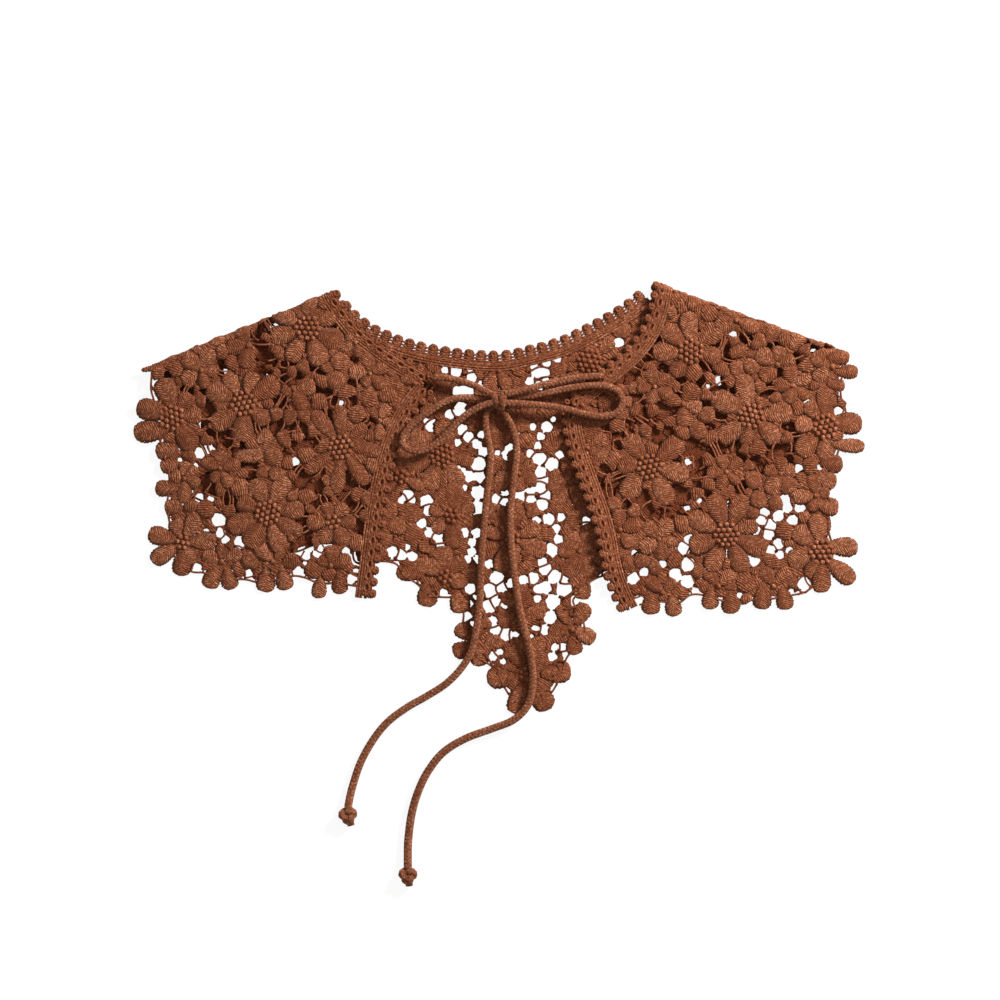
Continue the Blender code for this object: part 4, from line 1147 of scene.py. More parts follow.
    def rungs(self, gaps, walls, apart=2.1):
        """The walls with those round each wider gap changed for two or three long bars side
        by side over it, led out from the nearest flower's heart."""
        hearts = np.array([heart[:2] for heart in self.hearts])
        centres = (walls[0] + walls[1]) / 2
        clear = np.ones(len(centres), bool)
        starts, ends = [], []
        for x, y, reach in gaps:
            if reach < 2.8:
                continue
            middle = np.array([x, y])
            clear &= np.linalg.norm(centres - middle, axis=1) > 1.15 * reach + 1.0
            away = middle - hearts[np.linalg.norm(hearts - middle, axis=1).argmin()]
            turn = math.atan2(away[1], away[0]) + self.random.normal(0, 0.2)
            count = 2 if reach < 3.8 else 3
            for k in range(count):
                foot = middle + (k - (count - 1) / 2) * apart * heading(turn + math.pi / 2)
                half = (reach + 1.8) * self.random.uniform(0.85, 1.1)
                rung = np.array([foot - half * heading(turn),
                                 foot + half * heading(turn + self.random.normal(0, 0.1))])
                # Both ends have to come to the ground or a petal
                if ((self.room(rung) > 0) | self.taken[self.cell(rung)]).all():
                    starts.append(rung[0])
                    ends.append(rung[1])
        return [np.concatenate([old[clear], new]) for old, new in zip(walls, (starts, ends))]

    def without_spurs(self, starts, ends):
        """The walls without those that end in the open with no other wall there."""
        tips = np.concatenate([starts, ends])
        open_there = (self.room(tips) < -0.3) & (signed_distance(tips, self.outline) < -1)
        _, index, uses = np.unique(np.round(tips, 3), axis=0, return_inverse=True,
                                   return_counts=True)
        loose = (uses[index.reshape(-1)] == 1) & open_there
        kept = ~(loose[:len(starts)] | loose[len(starts):])
        return starts[kept], ends[kept]


BAR_ROWS = 5
BAR_BOW = 0.15  # most that a bar bows, as a share of its length


def circle_middles(a, b, c):
    """The middles of the circles through three points each."""
    ab, ac = b - a, c - a
    double = 2 * (ab[:, 0] * ac[:, 1] - ab[:, 1] * ac[:, 0])
    square_b, square_c = (ab**2).sum(axis=1), (ac**2).sum(axis=1)
    x = (ac[:, 1] * square_b - ab[:, 1] * square_c) / double
    y = (ab[:, 0] * square_c - ac[:, 0] * square_b) / double
    return a + np.column_stack([x, y])


def bowed(starts, ends, random):
    """Lines between two points each, bowed to one side by a share of their length."""
    share = np.linspace(0, 1, BAR_ROWS)[None, :, None]
    side = ends - starts
    across = np.column_stack([-side[:, 1], side[:, 0]])
    bow = random.uniform(-BAR_BOW, BAR_BOW, (len(starts), 1, 1)) * np.sin(math.pi * share)
    return starts[:, None] + share * side[:, None] + bow * across[:, None]


def add_hearts(body, hearts, surface, bobble, random, relief=1.0):
    """Flower hearts: a low disc, with bobbles in one or two rings round a middle one."""
    hearts = np.array(hearts)
    spots = []
    pitch = bobble * 1.06
    for x, y, rings in hearts:
        turn = 0.4 * x + 0.7 * y
        steps = [(0.0, 0.0)]
        steps += [(1.0, k * 60) for k in range(6)] * int(rings > 0)
        steps += [((1.95, 1.732)[k % 2], k * 30) for k in range(12)] * int(rings > 1)
        reach, angle = np.array(steps).T
        spots.append((x, y) + pitch * reach[:, None] * heading(np.radians(angle) + turn))
    spots = np.concatenate(spots)
    spots += random.uniform(-0.3, 0.3, spots.shape)
    add_domes(body, spots, bobble / 2, surface, 0.85 * relief - 0.5)
    for rings, radius in ((0, 2.6), (1, 5.0), (2, 7.8)):
        discs = hearts[hearts[:, 2] == rings][:, :2]
        if len(discs):
            profile = np.arcsin(np.array([-0.75, -0.2, 0.3]) / radius)
            # The heart's disc lies under the bobbles and gets painted shade: a darker tint and low
            # painted light
            add_domes(body, discs, radius, surface, 0.0, 12, 0.35, profile)


def add_ground(body, plan, surface, step, crest, random):
    """The close stitching under and between the petals: a thin sheet with the windows left out.

    The corners of a square grid make a quad wherever plan.room is above 0 in its middle and
    petals don't hide it. Corners next to an open quad slide along the slope of room to where it
    is 0. The top wavers at random by a thread, and thins towards the rims, where painted shade
    darkens it.
    """
    low, high = plan.outline.min(axis=0), plan.outline.max(axis=0)
    axes = [np.arange(a, b + step, step) for a, b in zip(low, high)]
    corners = lattice(axes)
    shape = corners.shape[:2]
    room = plan.room(corners.reshape(-1, 2)).reshape(shape)
    hidden = plan.hidden(corners.reshape(-1, 2)).reshape(shape)
    around = [(slice(0, -1), slice(0, -1)), (slice(1, None), slice(0, -1)),
              (slice(1, None), slice(1, None)), (slice(0, -1), slice(1, None))]
    filled = np.mean([room[k] for k in around], axis=0) > 0
    stays = filled & ~np.all([hidden[k] for k in around], axis=0)
    number = np.arange(room.size).reshape(shape)
    quads = np.stack([number[k][stays] for k in around], axis=-1)
    rim = np.zeros(shape, bool)
    for k in around:
        rim[k] |= ~filled
    slope = np.stack(np.gradient(room, step), axis=-1)
    slide = -room[..., None] * slope / np.maximum((slope**2).sum(axis=-1, keepdims=True), 0.3)
    slide = np.clip(slide, -0.8 * step, 0.8 * step)
    corners = corners + np.where(rim[..., None], slide, 0)
    used, quads = np.unique(quads, return_inverse=True)
    quads = quads.reshape(-1, 4)
    pattern = corners.reshape(-1, 2)[used]
    into = np.clip(np.where(rim, 0, room).ravel()[used] / 1.8, 0, 1)
    waver = random.uniform(-1, 1, len(used))
    top = place(surface, pattern, -0.25 + 0.4 * into + 0.18 * waver)
    bottom = place(surface, pattern, np.full(len(used), -0.75))
    x, y = pattern.T
    sway = 2.1 * np.sin(x / 6.7) + 1.9 * np.sin(y / 5.9)
    wound = np.column_stack([x, 0.62 * x + 0.79 * y + sway])
    # Painted shade towards the rims, with a random mottle of the thread
    crest = crest * (0.35 + 0.65 * into) * (1 + 0.3 * waver)
    body.add_sheet(top, bottom, quads, wound,
                   [crest, random.uniform(0, 1, len(used)), 0.7 * np.ones(len(used))])


# Shares of the full brightness that the back keeps under its painted shade, and that the trims keep
BACK_PAINTED_SHADE, TRIM_TONE = 0.73, 0.77
# How much plumper a flower's petals are made than they are listed, because they overlap
PLUMP = 1.15
# How far the ground stays off windows' and gaps' rims, how much gaps grow, and how much wider
# a front's window is in the back under it
WINDOW_RIM, GAP_RIM, GAP_GROWTH, THROUGH = -0.2, 1.0, 1.15, 0.4
# How a layer is worked: the share of the petals' full height, the painted light of the ground
# (lower is darker painted shade) and its grid, the smallest leaf that fills it, how clear of a
# window the net's own cells stay, and the bars' radius as a share of their thickness. The back
# is one flat layer, so its petals hardly stand out from its ground.
BACK_LAYER = (0.4, 0.85, 1.5, 3.2, 4.5, 0.5)
FRONT_LAYER = (1.0, 0.65, 1.2, 2.0, 0.0, 0.4)


def make_panel(back, plan, tips, flowers, leaves, windows, gaps, surface, lace, borders, hem):
    """One lace panel: petals, hearts, fillers and the net's bars, in one mesh."""
    relief, crest, step, smallest, clear, bar_share = BACK_LAYER if back else FRONT_LAYER
    plan.keep_open(windows, WINDOW_RIM)
    plan.keep_open([(x, y, GAP_GROWTH * reach) for x, y, reach in gaps], GAP_RIM)
    for x, y, width, direction, length in tips:
        angle = math.radians(direction)
        plan.lay(*((x, y) - heading(angle) * length), angle, length, width, shrink=False)
    for x, y, reach, width, rings, directions in flowers:
        plan.flower(x, y, reach, PLUMP * width, rings, directions)
    for x, y, length, width, direction in leaves:
        angle = math.radians(direction)
        root = np.array([x, y]) - heading(angle) * length / 2
        plan.lay(*root, angle, length, width)
    if back:
        plan.grid_flowers(pitch=50.0, reach=21.0, clear=36.0)
    plan.fill(smallest)
    body = Body()
    add_ground(body, plan, surface, step, crest, plan.random)
    add_petals(body, np.array(plan.petals), surface, lace.rib * 1000 / relief**0.4, plan.random,
               relief)
    add_leaves(body, plan.leaves, surface, plan.random, relief)
    add_hearts(body, plan.hearts, surface, lace.bobble * 1000, plan.random, relief)
    walls = plan.net(lace.mesh * 1000, clear)
    if gaps:
        walls = plan.rungs(gaps, walls)
    lines = bowed(*walls, plan.random)
    # Painted shade: the back's bars and the fronts' bars past the back are drawn at 0.45 of their
    # full brightness, so they stand dark against the white floor; the fronts' bars over the back
    # keep their full brightness
    over = not back and signed_distance(lines[:, 2], back_outline()) < -4
    add_strands(body, lines, lace.bar * 1000 * bar_share, surface, -0.1, ends=1.3,
                light=np.broadcast_to(np.where(over, 1.0, 0.45), len(lines)))
    # Painted shade darkens the whole back
    if back:
        body.darken(BACK_PAINTED_SHADE)
    for line in borders:
        add_strands(body, spaced(line, 1.6)[None], 0.75, surface, 0.0, 6, twist=6.0)
    # The hem's strand gets painted shade, at 0.55 of its full brightness
    add_strands(body, spaced(hem, 1.6)[None], lace.bar * 500, surface, -0.2, light=0.55)
    return body


# Trims


def stitched(line, inward, depths, runs):
    """Pattern points at these distances along a line and depths inside it.

    depths and runs have the same shape; the point is line(run) + inward·depth·normal(run).
    """
    run = along(line)
    normal = right_of(line)
    shape = np.shape(runs)
    at = np.stack([np.interp(np.ravel(runs), run, column) for column in line.T], axis=1)
    facing = np.stack([np.interp(np.ravel(runs), run, column) for column in normal.T], axis=1)
    return (at + inward * np.ravel(depths)[:, None] * facing).reshape(*shape, 2)


def trim_body(line, inward, surface, cut=None, ringed=True):
    """Picots, the rings or threads between them, fine cords and the rungs of one trim.

    cut is a point on the mitre and the way across it, out of this trim.
    """
    body = Body()
    line = spaced(line, 1.0)
    total = along(line)[-1]
    count = round(total / PICOT_PITCH)
    pitch = total / count
    middles = (np.arange(count) + 0.5) * pitch
    gaps = np.arange(1, count) * pitch
    random = np.random.default_rng(count)

    def kept(lines):
        """Only the shapes that lie wholly on this trim's side of the mitre."""
        if cut is None:
            return lines
        corner, across = cut
        return lines[((lines - corner) @ across < 0.2).all(axis=1)]

    # A picot: a plump finger with a small eyelet near its tip
    fingers = kept(stitched(line, inward, np.broadcast_to([11.2, 0.0], (count, 2)),
                            np.broadcast_to(middles[:, None], (count, 2))))
    reach = fingers[:, 1] - fingers[:, 0]
    every = np.ones(len(fingers))
    petals = np.column_stack([
        fingers[:, 0], np.arctan2(reach[:, 1], reach[:, 0]), np.linalg.norm(reach, axis=1),
        (6.3 if ringed else 6.8) * every, 0.1 * every, 0 * every,
        random.uniform(-0.2, 0.2, len(every)), 0.2 * every, random.uniform(0, 1, len(every))])
    add_petals(body, petals, surface, 1.4, random)
    turn = np.linspace(0, 2 * math.pi, 10, endpoint=False)
    eyes = stitched(line, inward, np.broadcast_to(2.6 - 1.35 * np.sin(turn), (count, 10)),
                    middles[:, None] + 1.15 * np.cos(turn))
    add_strands(body, kept(eyes), 0.75, surface, 0.75, 6, closed=True)
    if ringed:
        # A ring between each two picots
        turn = np.linspace(0, 2 * math.pi, 12, endpoint=False)
        rings = stitched(line, inward, np.broadcast_to(6.8 - 1.7 * np.sin(turn), (count - 1, 12)),
                         gaps[:, None] + 2.7 * np.cos(turn))
        add_strands(body, kept(rings), 1.0, surface, 0.25, 6, closed=True)
    # Threads across each gap between two picots
    cross = np.linspace(-2.2, 2.2, 4)
    for level in (3.9,) if ringed else (3.5, 5.5, 7.3):
        threads = stitched(line, inward, np.full((count - 1, 4), level), gaps[:, None] + cross)
        add_strands(body, kept(threads), 0.75, surface, 0.0, 5)
    # Fine cords, and the rungs that tie them to the panel
    strands = ((9.5, 0.85, 0.15), (10.3, 0.75, -0.5), (11.1, 0.85, 0.15), (11.9, 0.7, -0.5),
               (6.8, 0.95, -0.7))
    if not ringed:
        strands = ((8.6, 0.9, 0.1), *strands[:4])
    for level, thick, lift in strands:
        rows = int(total / 0.9)
        cords = stitched(line, inward, np.full((1, rows), level), np.linspace(0, total, rows)[None])
        if cut is not None:
            corner, across = cut
            cords = cords[:, (cords[0] - corner) @ across < 0.3]
        # The lowest cord, under the others, gets painted shade at 0.3 of its full brightness
        add_strands(body, cords, thick, surface, lift, 6, twist=4.4,
                    light=1 if lift > -0.6 else 0.3)
    steps = np.arange(1.5, total - 1, 3.4)
    rungs = stitched(line, inward, np.broadcast_to([9.3, 11.0, 13.2], (len(steps), 3)),
                     steps[:, None] + np.array([0.0, 0.3, 0.5]))
    add_strands(body, kept(rungs), 0.6, surface, -0.1, 5)
    body.darken(TRIM_TONE)
    return body


# Cords and knots


CORD_SIDES = 16


def frames_of(line, closed):
    """Unit vectors across and up from a line in space, which for a closed one lie round its
    middle, with the neighbours of its ends taken round the join."""
    if closed:
        ahead = unit(np.roll(line, -1, axis=0) - np.roll(line, 1, axis=0))
        across = unit(np.cross(ahead, line - line.mean(axis=0)))
    else:
        ahead = unit(np.gradient(line, axis=0))
        across = unit(np.cross(ahead, (0.0, 0.0, 1.0)), 1e-6)
    return across, np.cross(across, ahead)


def knitted(line, radius, stitch, closed=False):
    """Points, thread map and painted light of a knitted cord along a line: painted light on the
    stitches' tops and painted shade in the grooves between them, following the relief.

    Four columns of stitches run along the cord. With c the place across a column, from −1 to
    1, and p the place along it in stitches, shifted half a stitch in every second column and
    drawn back at the column's sides into a V, the surface lies at
    radius·(0.8 + 0.3·((1 − |c|³)·0.5 + (0.5 + 0.5·cos 2πp)·0.5)).
    """
    run = along(line)
    across, up = frames_of(line, closed)
    turn = (np.arange(CORD_SIDES) + 0.5) * 2 * math.pi / CORD_SIDES
    column = turn * 4 / (2 * math.pi)
    c = 2 * (column % 1.0) - 1
    if closed:
        total = run[-1] + np.linalg.norm(line[0] - line[-1])
        stitch = total / round(total / stitch)
    p = run[:, None] / stitch + 0.5 * (column.astype(int) % 2) - 0.38 * np.abs(c)
    relief = 0.5 * (1 - np.abs(c) ** 3) + 0.5 * (0.5 + 0.5 * np.cos(2 * math.pi * p))
    thick = radius * (0.8 + 0.3 * relief)
    points = (line[:, None] + (thick * np.cos(turn))[..., None] * across[:, None]
              + (thick * np.sin(turn))[..., None] * up[:, None])
    uv = np.stack(np.broadcast_arrays(radius * np.abs(turn - math.pi), run[:, None]), axis=-1)
    return points[None], uv[None], relief[None]


# How full the cord is at the start and the end of a stretch, as a share of its radius: it is
# drawn thin at the bow and swells slowly down the tails.
DRAWN = (0.9, 0.9)
FULLNESS = {"tail_left": (0.88, 1.06), "tail_right": (0.88, 1.12)}


def make_cord(name, route, cord, material):
    """One stretch of the cord on its route.

    Its radius goes in a straight line from the fullness at its start to that at its end.
    """
    line = smooth(route, cord.stitch * 1000 / 5)
    fullness = np.linspace(*FULLNESS.get(name, DRAWN), len(line))[:, None]
    body = Body()
    body.add(*knitted(line, CORD / 2 * fullness, cord.stitch * 1000), 0.5)
    made = body.object(f"{name}_cord", material)
    settle(made, name)
    return made, line


def bow_knot_body(stitch):
    """The bow's knot: one turn of cord, an upright oval round the crossing, and its core."""
    body = Body()
    turn = np.linspace(0, 2 * math.pi, 72, endpoint=False)
    for lean, shift, size, radius in ((0.18, 2.6, 1.05, 2.4), (-0.35, -1.9, 0.88, 2.2)):
        y = 4.1 * size * np.cos(turn)
        line = np.column_stack([
            BOW_KNOT[0] + shift + lean * y, BOW_KNOT[1] + y,
            BOW_KNOT[2] - 0.2 + 3.4 * size * np.sin(turn),
        ])
        body.add(*knitted(line, radius, stitch, closed=True), 0.5, closed=True)
    return body


def tail_knot_body(middle, angle, stitch):
    """A stopper knot: a flattened trefoil of cord, and the short cut end below it.

    The trefoil is (sin t + 2 sin 2t, cos t − 2 cos 2t, −sin 3t), scaled to the knot's size.
    """
    body = Body()
    t = np.linspace(0, 2 * math.pi, 120, endpoint=False)
    local = np.column_stack([
        1.35 * (np.sin(t) + 2 * np.sin(2 * t)), 1.25 * (np.cos(t) - 2 * np.cos(2 * t)) - 0.6,
        1.5 * -np.sin(3 * t),
    ])
    turn = np.array([[math.cos(angle), -math.sin(angle), 0], [math.sin(angle), math.cos(angle), 0],
                     [0, 0, 1]])
    line = local @ turn.T + middle
    body.add(*knitted(line, CORD / 2, stitch, closed=True), 0.5, closed=True)
    end = np.linspace((0.6, -1.5, -0.8), (1.2, -7.1, -1.6), 9) @ turn.T + middle
    body.add(*knitted(end, CORD / 2, stitch), 0.5)
    return body


# Materials


def add_node(tree, kind, inputs=(), **settings):
    """Adds a node, sets it up, and links or fills its inputs."""
    made = tree.nodes.new(kind)
    for name, value in settings.items():
        setattr(made, name, value)
    for name, value in dict(inputs).items():
        if isinstance(value, bpy.types.NodeSocket):
            tree.links.new(value, made.inputs[name])
        else:
            made.inputs[name].default_value = value
    return made


def cotton(name, colour, thread, knot):
    """Mercerised cotton thread: matt with a faint sheen, with painted shade deep between the
    stitches.

    thread is the spacing of the wound threads and knot of the stitches that hold them, in mm.
    Real threads are about 0.45 mm; they are drawn coarser, so that they show.
    """
    material = bpy.data.materials.new(name)
    material.use_nodes = True
    tree = material.node_tree
    tree.nodes.clear()
    uv = add_node(tree, "ShaderNodeUVMap", uv_map="Thread").outputs["UV"]
    place_in = add_node(tree, "ShaderNodeTexCoord").outputs["Object"]
    crest, shade, rib = (
        add_node(tree, "ShaderNodeAttribute", attribute_name=label).outputs["Fac"]
        for label in ("crest", "shade", "rib"))
    # A band of the wave is 0.314 long at scale 1
    wave = add_node(tree, "ShaderNodeTexWave", {
        "Vector": uv, "Scale": 0.314 / thread, "Distortion": 4.6, "Detail": 2.0,
        "Detail Scale": 1.1}, wave_type="BANDS", bands_direction="Y").outputs["Fac"]
    # Loose fibres about 1 mm long, and patches of uneven dye about 22 mm across
    fibre, patch = (
        add_node(tree, "ShaderNodeTexNoise", {
            "Vector": place_in, "Scale": scale, "Detail": detail}).outputs["Fac"]
        for scale, detail in ((900.0, 3.0), (45.0, 2.0)))
    stitch = add_node(tree, "ShaderNodeTexVoronoi", {"Vector": uv, "Scale": 1 / knot}).outputs
    slit = add_node(tree, "ShaderNodeMapRange", {
        "Value": wave, "From Min": 0.05, "From Max": 0.75, "To Min": 1.0, "To Max": 0.0}).outputs[0]
    slit = add_node(tree, "ShaderNodeMath", {0: slit, 1: rib}, operation="MULTIPLY").outputs[0]
    # How each pattern lightens or darkens the colour: from these values, to these shares of it
    level = None
    for value, lowest, highest, first, last in (
        (crest, 0.0, 0.85, 0.15, 1.0),  # painted shade deep between the stitches
        (shade, 0.0, 1.0, 0.84, 1.18),  # each petal's own tint
        (patch, 0.3, 0.7, 0.84, 1.16),
        (fibre, 0.3, 0.7, 0.5, 1.5),
        (slit, 0.0, 1.0, 1.12, 0.5),  # painted shade between the wound threads and painted light on them
        # Painted shade round the rim of each stitch, where it holds the threads down, and a tint of
        # its own for each stitch
        (stitch["Distance"], 0.15, 0.7, 1.2, 0.55),
        (stitch["Color"], 0.0, 1.0, 0.72, 1.28),
    ):
        share = add_node(tree, "ShaderNodeMapRange", {
            "Value": value, "From Min": lowest, "From Max": highest, "To Min": first,
            "To Max": last}).outputs[0]
        level = share if level is None else add_node(
            tree, "ShaderNodeMath", {0: level, 1: share}, operation="MULTIPLY").outputs[0]
    # Where the level is low the painted shade turns the colour redder; where it is high the colour
    # pales, for loose fibre and a painted highlight together
    shadow = tuple(v * k for v, k in zip(colour, (0.3, 0.12, 0.03)))
    pale = tuple(v * k for v, k in zip(colour, (1.7, 2.1, 2.7)))
    top = add_node(tree, "ShaderNodeMapRange", {
        "Value": level, "From Min": 0.9, "From Max": 1.7}).outputs[0]
    painted = (*shadow, 1.0)
    for factor, tone in ((level, colour), (top, pale)):
        mixed = add_node(tree, "ShaderNodeMix", {"Factor": factor}, data_type="RGBA")
        # The mix node has a set of sockets for each data type, so its colours go in by place
        if isinstance(painted, tuple):
            mixed.inputs[6].default_value = painted
        else:
            tree.links.new(painted, mixed.inputs[6])
        mixed.inputs[7].default_value = (*tone, 1.0)
        painted = mixed.outputs[2]
    rough = add_node(tree, "ShaderNodeMapRange", {
        "Value": fibre, "To Min": 0.74, "To Max": 0.94}).outputs[0]
    ribs = add_node(tree, "ShaderNodeMath", {0: wave, 1: rib}, operation="MULTIPLY").outputs[0]
    height = add_node(tree, "ShaderNodeMath", {0: ribs, 1: fibre}, operation="ADD").outputs[0]
    bump = add_node(tree, "ShaderNodeBump", {
        "Height": height, "Strength": 1.0, "Distance": 0.0005}).outputs["Normal"]
    shader = add_node(tree, "ShaderNodeBsdfPrincipled", {
        "Base Color": painted, "Roughness": rough, "Normal": bump,
        "Metallic": 0.0, "Specular IOR Level": 0.12, "Sheen Weight": 0.1, "Sheen Roughness": 0.5,
        "Sheen Tint": (*linear("#FFE1CB"), 1.0)})
    add_node(tree, "ShaderNodeOutputMaterial", {"Surface": shader.outputs[0]})
    return material


def white_to_the_eye(tree):
    """1 for the rays that should meet plain white: straight from the eye, or by way of a
    mirror or a glass."""
    rays = add_node(tree, "ShaderNodeLightPath").outputs
    seen = rays["Is Camera Ray"]
    for kind in ("Is Glossy Ray", "Is Transmission Ray"):
        seen = add_node(tree, "ShaderNodeMath", {0: seen, 1: rays[kind]},
                        operation="MAXIMUM").outputs[0]
    return seen


def paper_floor():
    """Matt white paper: it takes the soft shadows and reads as white to the camera."""
    material = bpy.data.materials.new("matt white paper")
    material.use_nodes = True
    tree = material.node_tree
    tree.nodes.clear()
    place_in = add_node(tree, "ShaderNodeTexCoord").outputs["Object"]
    grain = add_node(tree, "ShaderNodeTexNoise", {
        "Vector": place_in, "Scale": 300.0, "Detail": 3.0}).outputs["Fac"]
    bump = add_node(tree, "ShaderNodeBump", {
        "Height": grain, "Strength": 0.1, "Distance": 0.0001}).outputs["Normal"]
    plain = add_node(tree, "ShaderNodeBsdfDiffuse", {
        "Color": (*linear("#E6E5E3"), 1.0), "Normal": bump})
    glow = add_node(tree, "ShaderNodeEmission", {
        "Color": (*linear("#FFFFFF"), 1.0), "Strength": 1.13})
    share = add_node(tree, "ShaderNodeMath", {
        0: white_to_the_eye(tree), 1: 0.8}, operation="MULTIPLY").outputs[0]
    mixed = add_node(tree, "ShaderNodeMixShader", {
        "Fac": share, 1: plain.outputs[0], 2: glow.outputs[0]})
    add_node(tree, "ShaderNodeOutputMaterial", {"Surface": mixed.outputs[0]})
    return material


LACE_COTTON, CORD_COTTON = "guipure cotton", "knitted cotton cord"


def finish_for(kind):
    """The material of that kind, made once."""
    known = bpy.data.materials.get(kind)
    if known:
        return known
    scene = bpy.context.scene
    if kind == CORD_COTTON:
        return cotton(kind, tuple(scene.capelet_cord.colour), thread=0.8, knot=1.3)
    return cotton(kind, tuple(scene.capelet_lace.colour), thread=1.45, knot=1.9)


# Floor, lamp and view, in metres

FLOOR_REACH = 12.0
LAMP_PLACE = (1.1, 0.98, 0.86)  # upper right of the capelet
LAMP_SIZE = 0.35
LAMP_COLOUR = (1.0, 0.985, 0.96)
ROOM_COLOUR = (1.0, 0.99, 0.975, 1.0)
SENSOR = 36.0  # width of the camera's sensor in millimetres
VIEW_WIDTH = 0.64  # how much of the floor the camera takes in
VIEW_MIDDLE = (0.00096, -0.0029)


# Operators


class CAPELET_OT_stage(Operator):
    """Make the paper floor, the lamp, the room light and the camera"""

    bl_idname = "capelet.stage"
    bl_label = "Stage"

    def execute(self, context):
        settings = context.scene.capelet_stage
        scene = context.scene
        scene.view_settings.view_transform = "Standard"
        mesh = bpy.data.meshes.new("floor")
        corners = [(x * FLOOR_REACH, y * FLOOR_REACH, 0)
                   for x, y in ((-1, -1), (1, -1), (1, 1), (-1, 1))]
        mesh.from_pydata(corners, [], [(0, 1, 2, 3)])
        mesh.materials.append(paper_floor())
        floor = bpy.data.objects.new("floor", mesh)
        scene.collection.objects.link(floor)
        world = bpy.data.worlds.new("pale room")
        scene.world = world
        world.use_nodes = True
        tree = world.node_tree
        tree.nodes.clear()
        even = add_node(tree, "ShaderNodeBackground", {
            "Color": ROOM_COLOUR, "Strength": settings.room})
        white = add_node(tree, "ShaderNodeBackground", {"Color": (1, 1, 1, 1), "Strength": 1.0})
        mixed = add_node(tree, "ShaderNodeMixShader", {
            "Fac": white_to_the_eye(tree), 1: even.outputs[0], 2: white.outputs[0]})
        add_node(tree, "ShaderNodeOutputWorld", {"Surface": mixed.outputs[0]})
        lamp = bpy.data.lights.new("soft lamp", "AREA")
        lamp.energy = settings.lamp
        lamp.size = LAMP_SIZE
        lamp.color = LAMP_COLOUR
        holder = bpy.data.objects.new("soft lamp", lamp)
        holder.location = LAMP_PLACE
        holder.rotation_euler = (-holder.location).to_track_quat("-Z", "Y").to_euler()
        scene.collection.objects.link(holder)
        camera = bpy.data.cameras.new("camera")
        camera.lens = settings.lens
        camera.sensor_width = SENSOR
        camera.clip_end = 100.0
        eye = bpy.data.objects.new("camera", camera)
        eye.location = (*VIEW_MIDDLE, VIEW_WIDTH * settings.lens / SENSOR)
        scene.collection.objects.link(eye)
        scene.camera = eye
        return {"FINISHED"}


class CAPELET_OT_cords(Operator):
    """Make the strings, the bow's loops and the two tails, with their knots"""

    bl_idname = "capelet.cords"
    bl_label = "Cords and knots"

    def execute(self, context):
        cord = context.scene.capelet_cord
        material = finish_for(CORD_COTTON)
        stitch = cord.stitch * 1000
        knots = {
            "bow_knot": bow_knot_body(stitch),
            "tail_knot_left": tail_knot_body(TAIL_KNOT_LEFT, 0.12, stitch),
            "tail_knot_right": tail_knot_body(TAIL_KNOT_RIGHT, -0.05, stitch),
        }
        made = {}
        for name, body in knots.items():
            made[name] = body.object(f"{name}_tied", material)
            settle(made[name], name)
        for name, route, far_end, lay, carried in (
            ("string_left", STRING_LEFT, "object", "taut", []),
            ("string_right", STRING_RIGHT, "object", "taut", []),
            ("bow_loop_left", BOW_LOOP_LEFT, "object", "loose", []),
            ("bow_loop_right", BOW_LOOP_RIGHT, "object", "loose", ["bow_knot"]),
            ("tail_left", TAIL_LEFT, "knot", "loose", ["tail_knot_left"]),
            ("tail_right", TAIL_RIGHT, "knot", "loose", ["tail_knot_right"]),
        ):
            piece, line = make_cord(name, route, cord, material)
        return {"FINISHED"}


class CAPELET_OT_back(Operator):
    """Make the back panel and its neck trim"""

    bl_idname = "capelet.back"
    bl_label = "Back"

    def execute(self, context):
        lace = context.scene.capelet_lace
        neck = smooth(BACK_NECK, NECK_STEP)
        left, right = Fold(*FOLD_LEFT), Fold(*FOLD_RIGHT)
        short = FOLD_LAP + SEAM
        top, hem, seam = (
            right.cut(left.cut(line, short), short)
            for line in (neck + PANEL_EDGE * right_of(neck), smooth(BACK_HEM, HEM_STEP), neck))
        plan = Plan(np.vstack([top, hem]), top, lace.seed)
        # The fronts' windows go on through the back
        through = [(x, y, reach + THROUGH) for x, y, reach in WINDOWS_LEFT + WINDOWS_RIGHT]
        body = make_panel(True, plan, TIPS_BACK, FLOWERS_BACK, [], WINDOWS_BACK + through, [],
                          back_surface, lace, [top], hem)
        # Painted shade on the back where the fronts lie over it
        body.shadow([
            np.vstack([smooth(neck_edge, NECK_STEP), smooth(front_edge, NECK_STEP),
                       smooth(front_hem, SHADOW_HEM_STEP)])
            for neck_edge, front_edge, front_hem in (
                (FRONT_NECK_LEFT, FRONT_EDGE_LEFT, FRONT_HEM_LEFT),
                (FRONT_NECK_RIGHT, FRONT_EDGE_RIGHT, FRONT_HEM_RIGHT))])
        material = finish_for(LACE_COTTON)
        panel = body.object("back_panel_lace", material)
        trim = trim_body(seam, 1, back_surface, ringed=False)
        trim = trim.object("back_neck_trim_lace", material)
        settle(panel, "back_panel")
        settle(trim, "back_neck_trim")
        return {"FINISHED"}


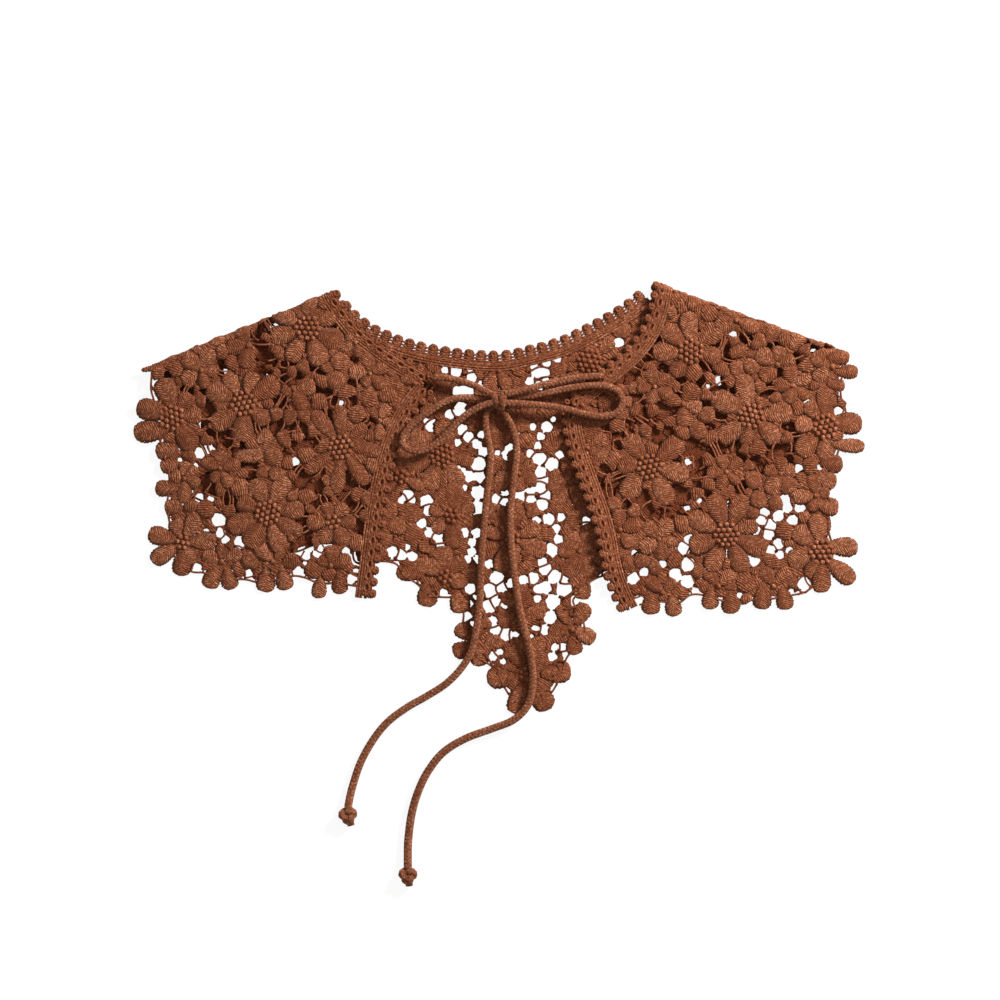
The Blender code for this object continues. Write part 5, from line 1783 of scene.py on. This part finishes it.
def make_front(side, inward, fold_ends, neck, edge, hem, tips, flowers, leaves, windows, gaps,
               lace):
    """One front with its neck trim and front-edge trim."""
    fold = Fold(*fold_ends)
    neck, edge = smooth(neck, NECK_STEP), smooth(edge, NECK_STEP)
    panel_neck, panel_edge = border(neck, edge, inward, PANEL_EDGE)
    panel_neck = fold.cut(panel_neck)
    outer = fold.cut(smooth(hem, HEM_STEP))
    trimmed = np.vstack([fold.over(panel_neck[0])[::-1], panel_neck, panel_edge])
    outline = np.vstack([trimmed, outer, fold.over(outer[-1])])
    surface = FrontSurface(fold, outline.min(axis=0) - 30, outline.max(axis=0) + 30)
    plan = Plan(outline, trimmed, lace.seed + (3 if side == "left" else 5))
    body = make_panel(False, plan, tips, flowers, leaves, windows, gaps, surface, lace, [trimmed],
                      outer)
    material = finish_for(LACE_COTTON)
    panel = body.object(f"front_{side}_panel_lace", material)
    neck_line = fold.cut(neck)
    neck_line = np.vstack([fold.over(neck_line[0])[::-1], neck_line])
    _, across = mitre(neck, edge, inward)
    neck_trim = trim_body(neck_line, inward, surface, (neck[-1], across))
    edge_trim = trim_body(edge, inward, surface, (neck[-1], -across))
    neck_trim = neck_trim.object(f"front_{side}_neck_trim_lace", material)
    edge_trim = edge_trim.object(f"front_{side}_edge_trim_lace", material)
    settle(panel, f"front_{side}_panel")
    settle(neck_trim, f"front_{side}_neck_trim")
    settle(edge_trim, f"front_{side}_edge_trim")


class CAPELET_OT_front_left(Operator):
    """Make the left front and its trims"""

    bl_idname = "capelet.front_left"
    bl_label = "Left front"

    def execute(self, context):
        make_front("left", 1, FOLD_LEFT, FRONT_NECK_LEFT, FRONT_EDGE_LEFT, FRONT_HEM_LEFT,
                   TIPS_LEFT, FLOWERS_LEFT, LEAVES_LEFT, WINDOWS_LEFT, GAPS_LEFT,
                   context.scene.capelet_lace)
        return {"FINISHED"}


class CAPELET_OT_front_right(Operator):
    """Make the right front and its trims"""

    bl_idname = "capelet.front_right"
    bl_label = "Right front"

    def execute(self, context):
        make_front("right", -1, FOLD_RIGHT, FRONT_NECK_RIGHT, FRONT_EDGE_RIGHT, FRONT_HEM_RIGHT,
                   TIPS_RIGHT, FLOWERS_RIGHT, LEAVES_RIGHT, WINDOWS_RIGHT, GAPS_RIGHT,
                   context.scene.capelet_lace)
        return {"FINISHED"}


class CAPELET_PT_pieces(Panel):
    """Lists the capelet's pieces and settings"""

    bl_idname = "CAPELET_PT_pieces"
    bl_label = "Capelet"
    bl_space_type = "VIEW_3D"
    bl_region_type = "UI"
    bl_category = "Capelet"

    def draw(self, context):
        for settings in (context.scene.capelet_stage, context.scene.capelet_cord,
                         context.scene.capelet_lace):
            for name in settings.__annotations__:
                self.layout.prop(settings, name)
        for operator in OPERATORS:
            self.layout.operator(operator.bl_idname)


OPERATORS = (
    CAPELET_OT_stage, CAPELET_OT_cords, CAPELET_OT_back, CAPELET_OT_front_left,
    CAPELET_OT_front_right,
)
SETTINGS = {
    "capelet_lace": LaceSettings, "capelet_cord": CordSettings, "capelet_stage": StageSettings,
}
CLASSES = (*SETTINGS.values(), *OPERATORS, CAPELET_PT_pieces)


def register():
    for kind in CLASSES:
        bpy.utils.register_class(kind)
    for name, kind in SETTINGS.items():
        setattr(bpy.types.Scene, name, PointerProperty(type=kind))


def unregister():
    for name in SETTINGS:
        delattr(bpy.types.Scene, name)
    for kind in reversed(CLASSES):
        bpy.utils.unregister_class(kind)


def main():
    register()
    bpy.ops.capelet.stage()
    bpy.ops.capelet.cords()
    bpy.ops.capelet.back()
    bpy.ops.capelet.front_left()
    bpy.ops.capelet.front_right()


if __name__ == "__main__":
    main()
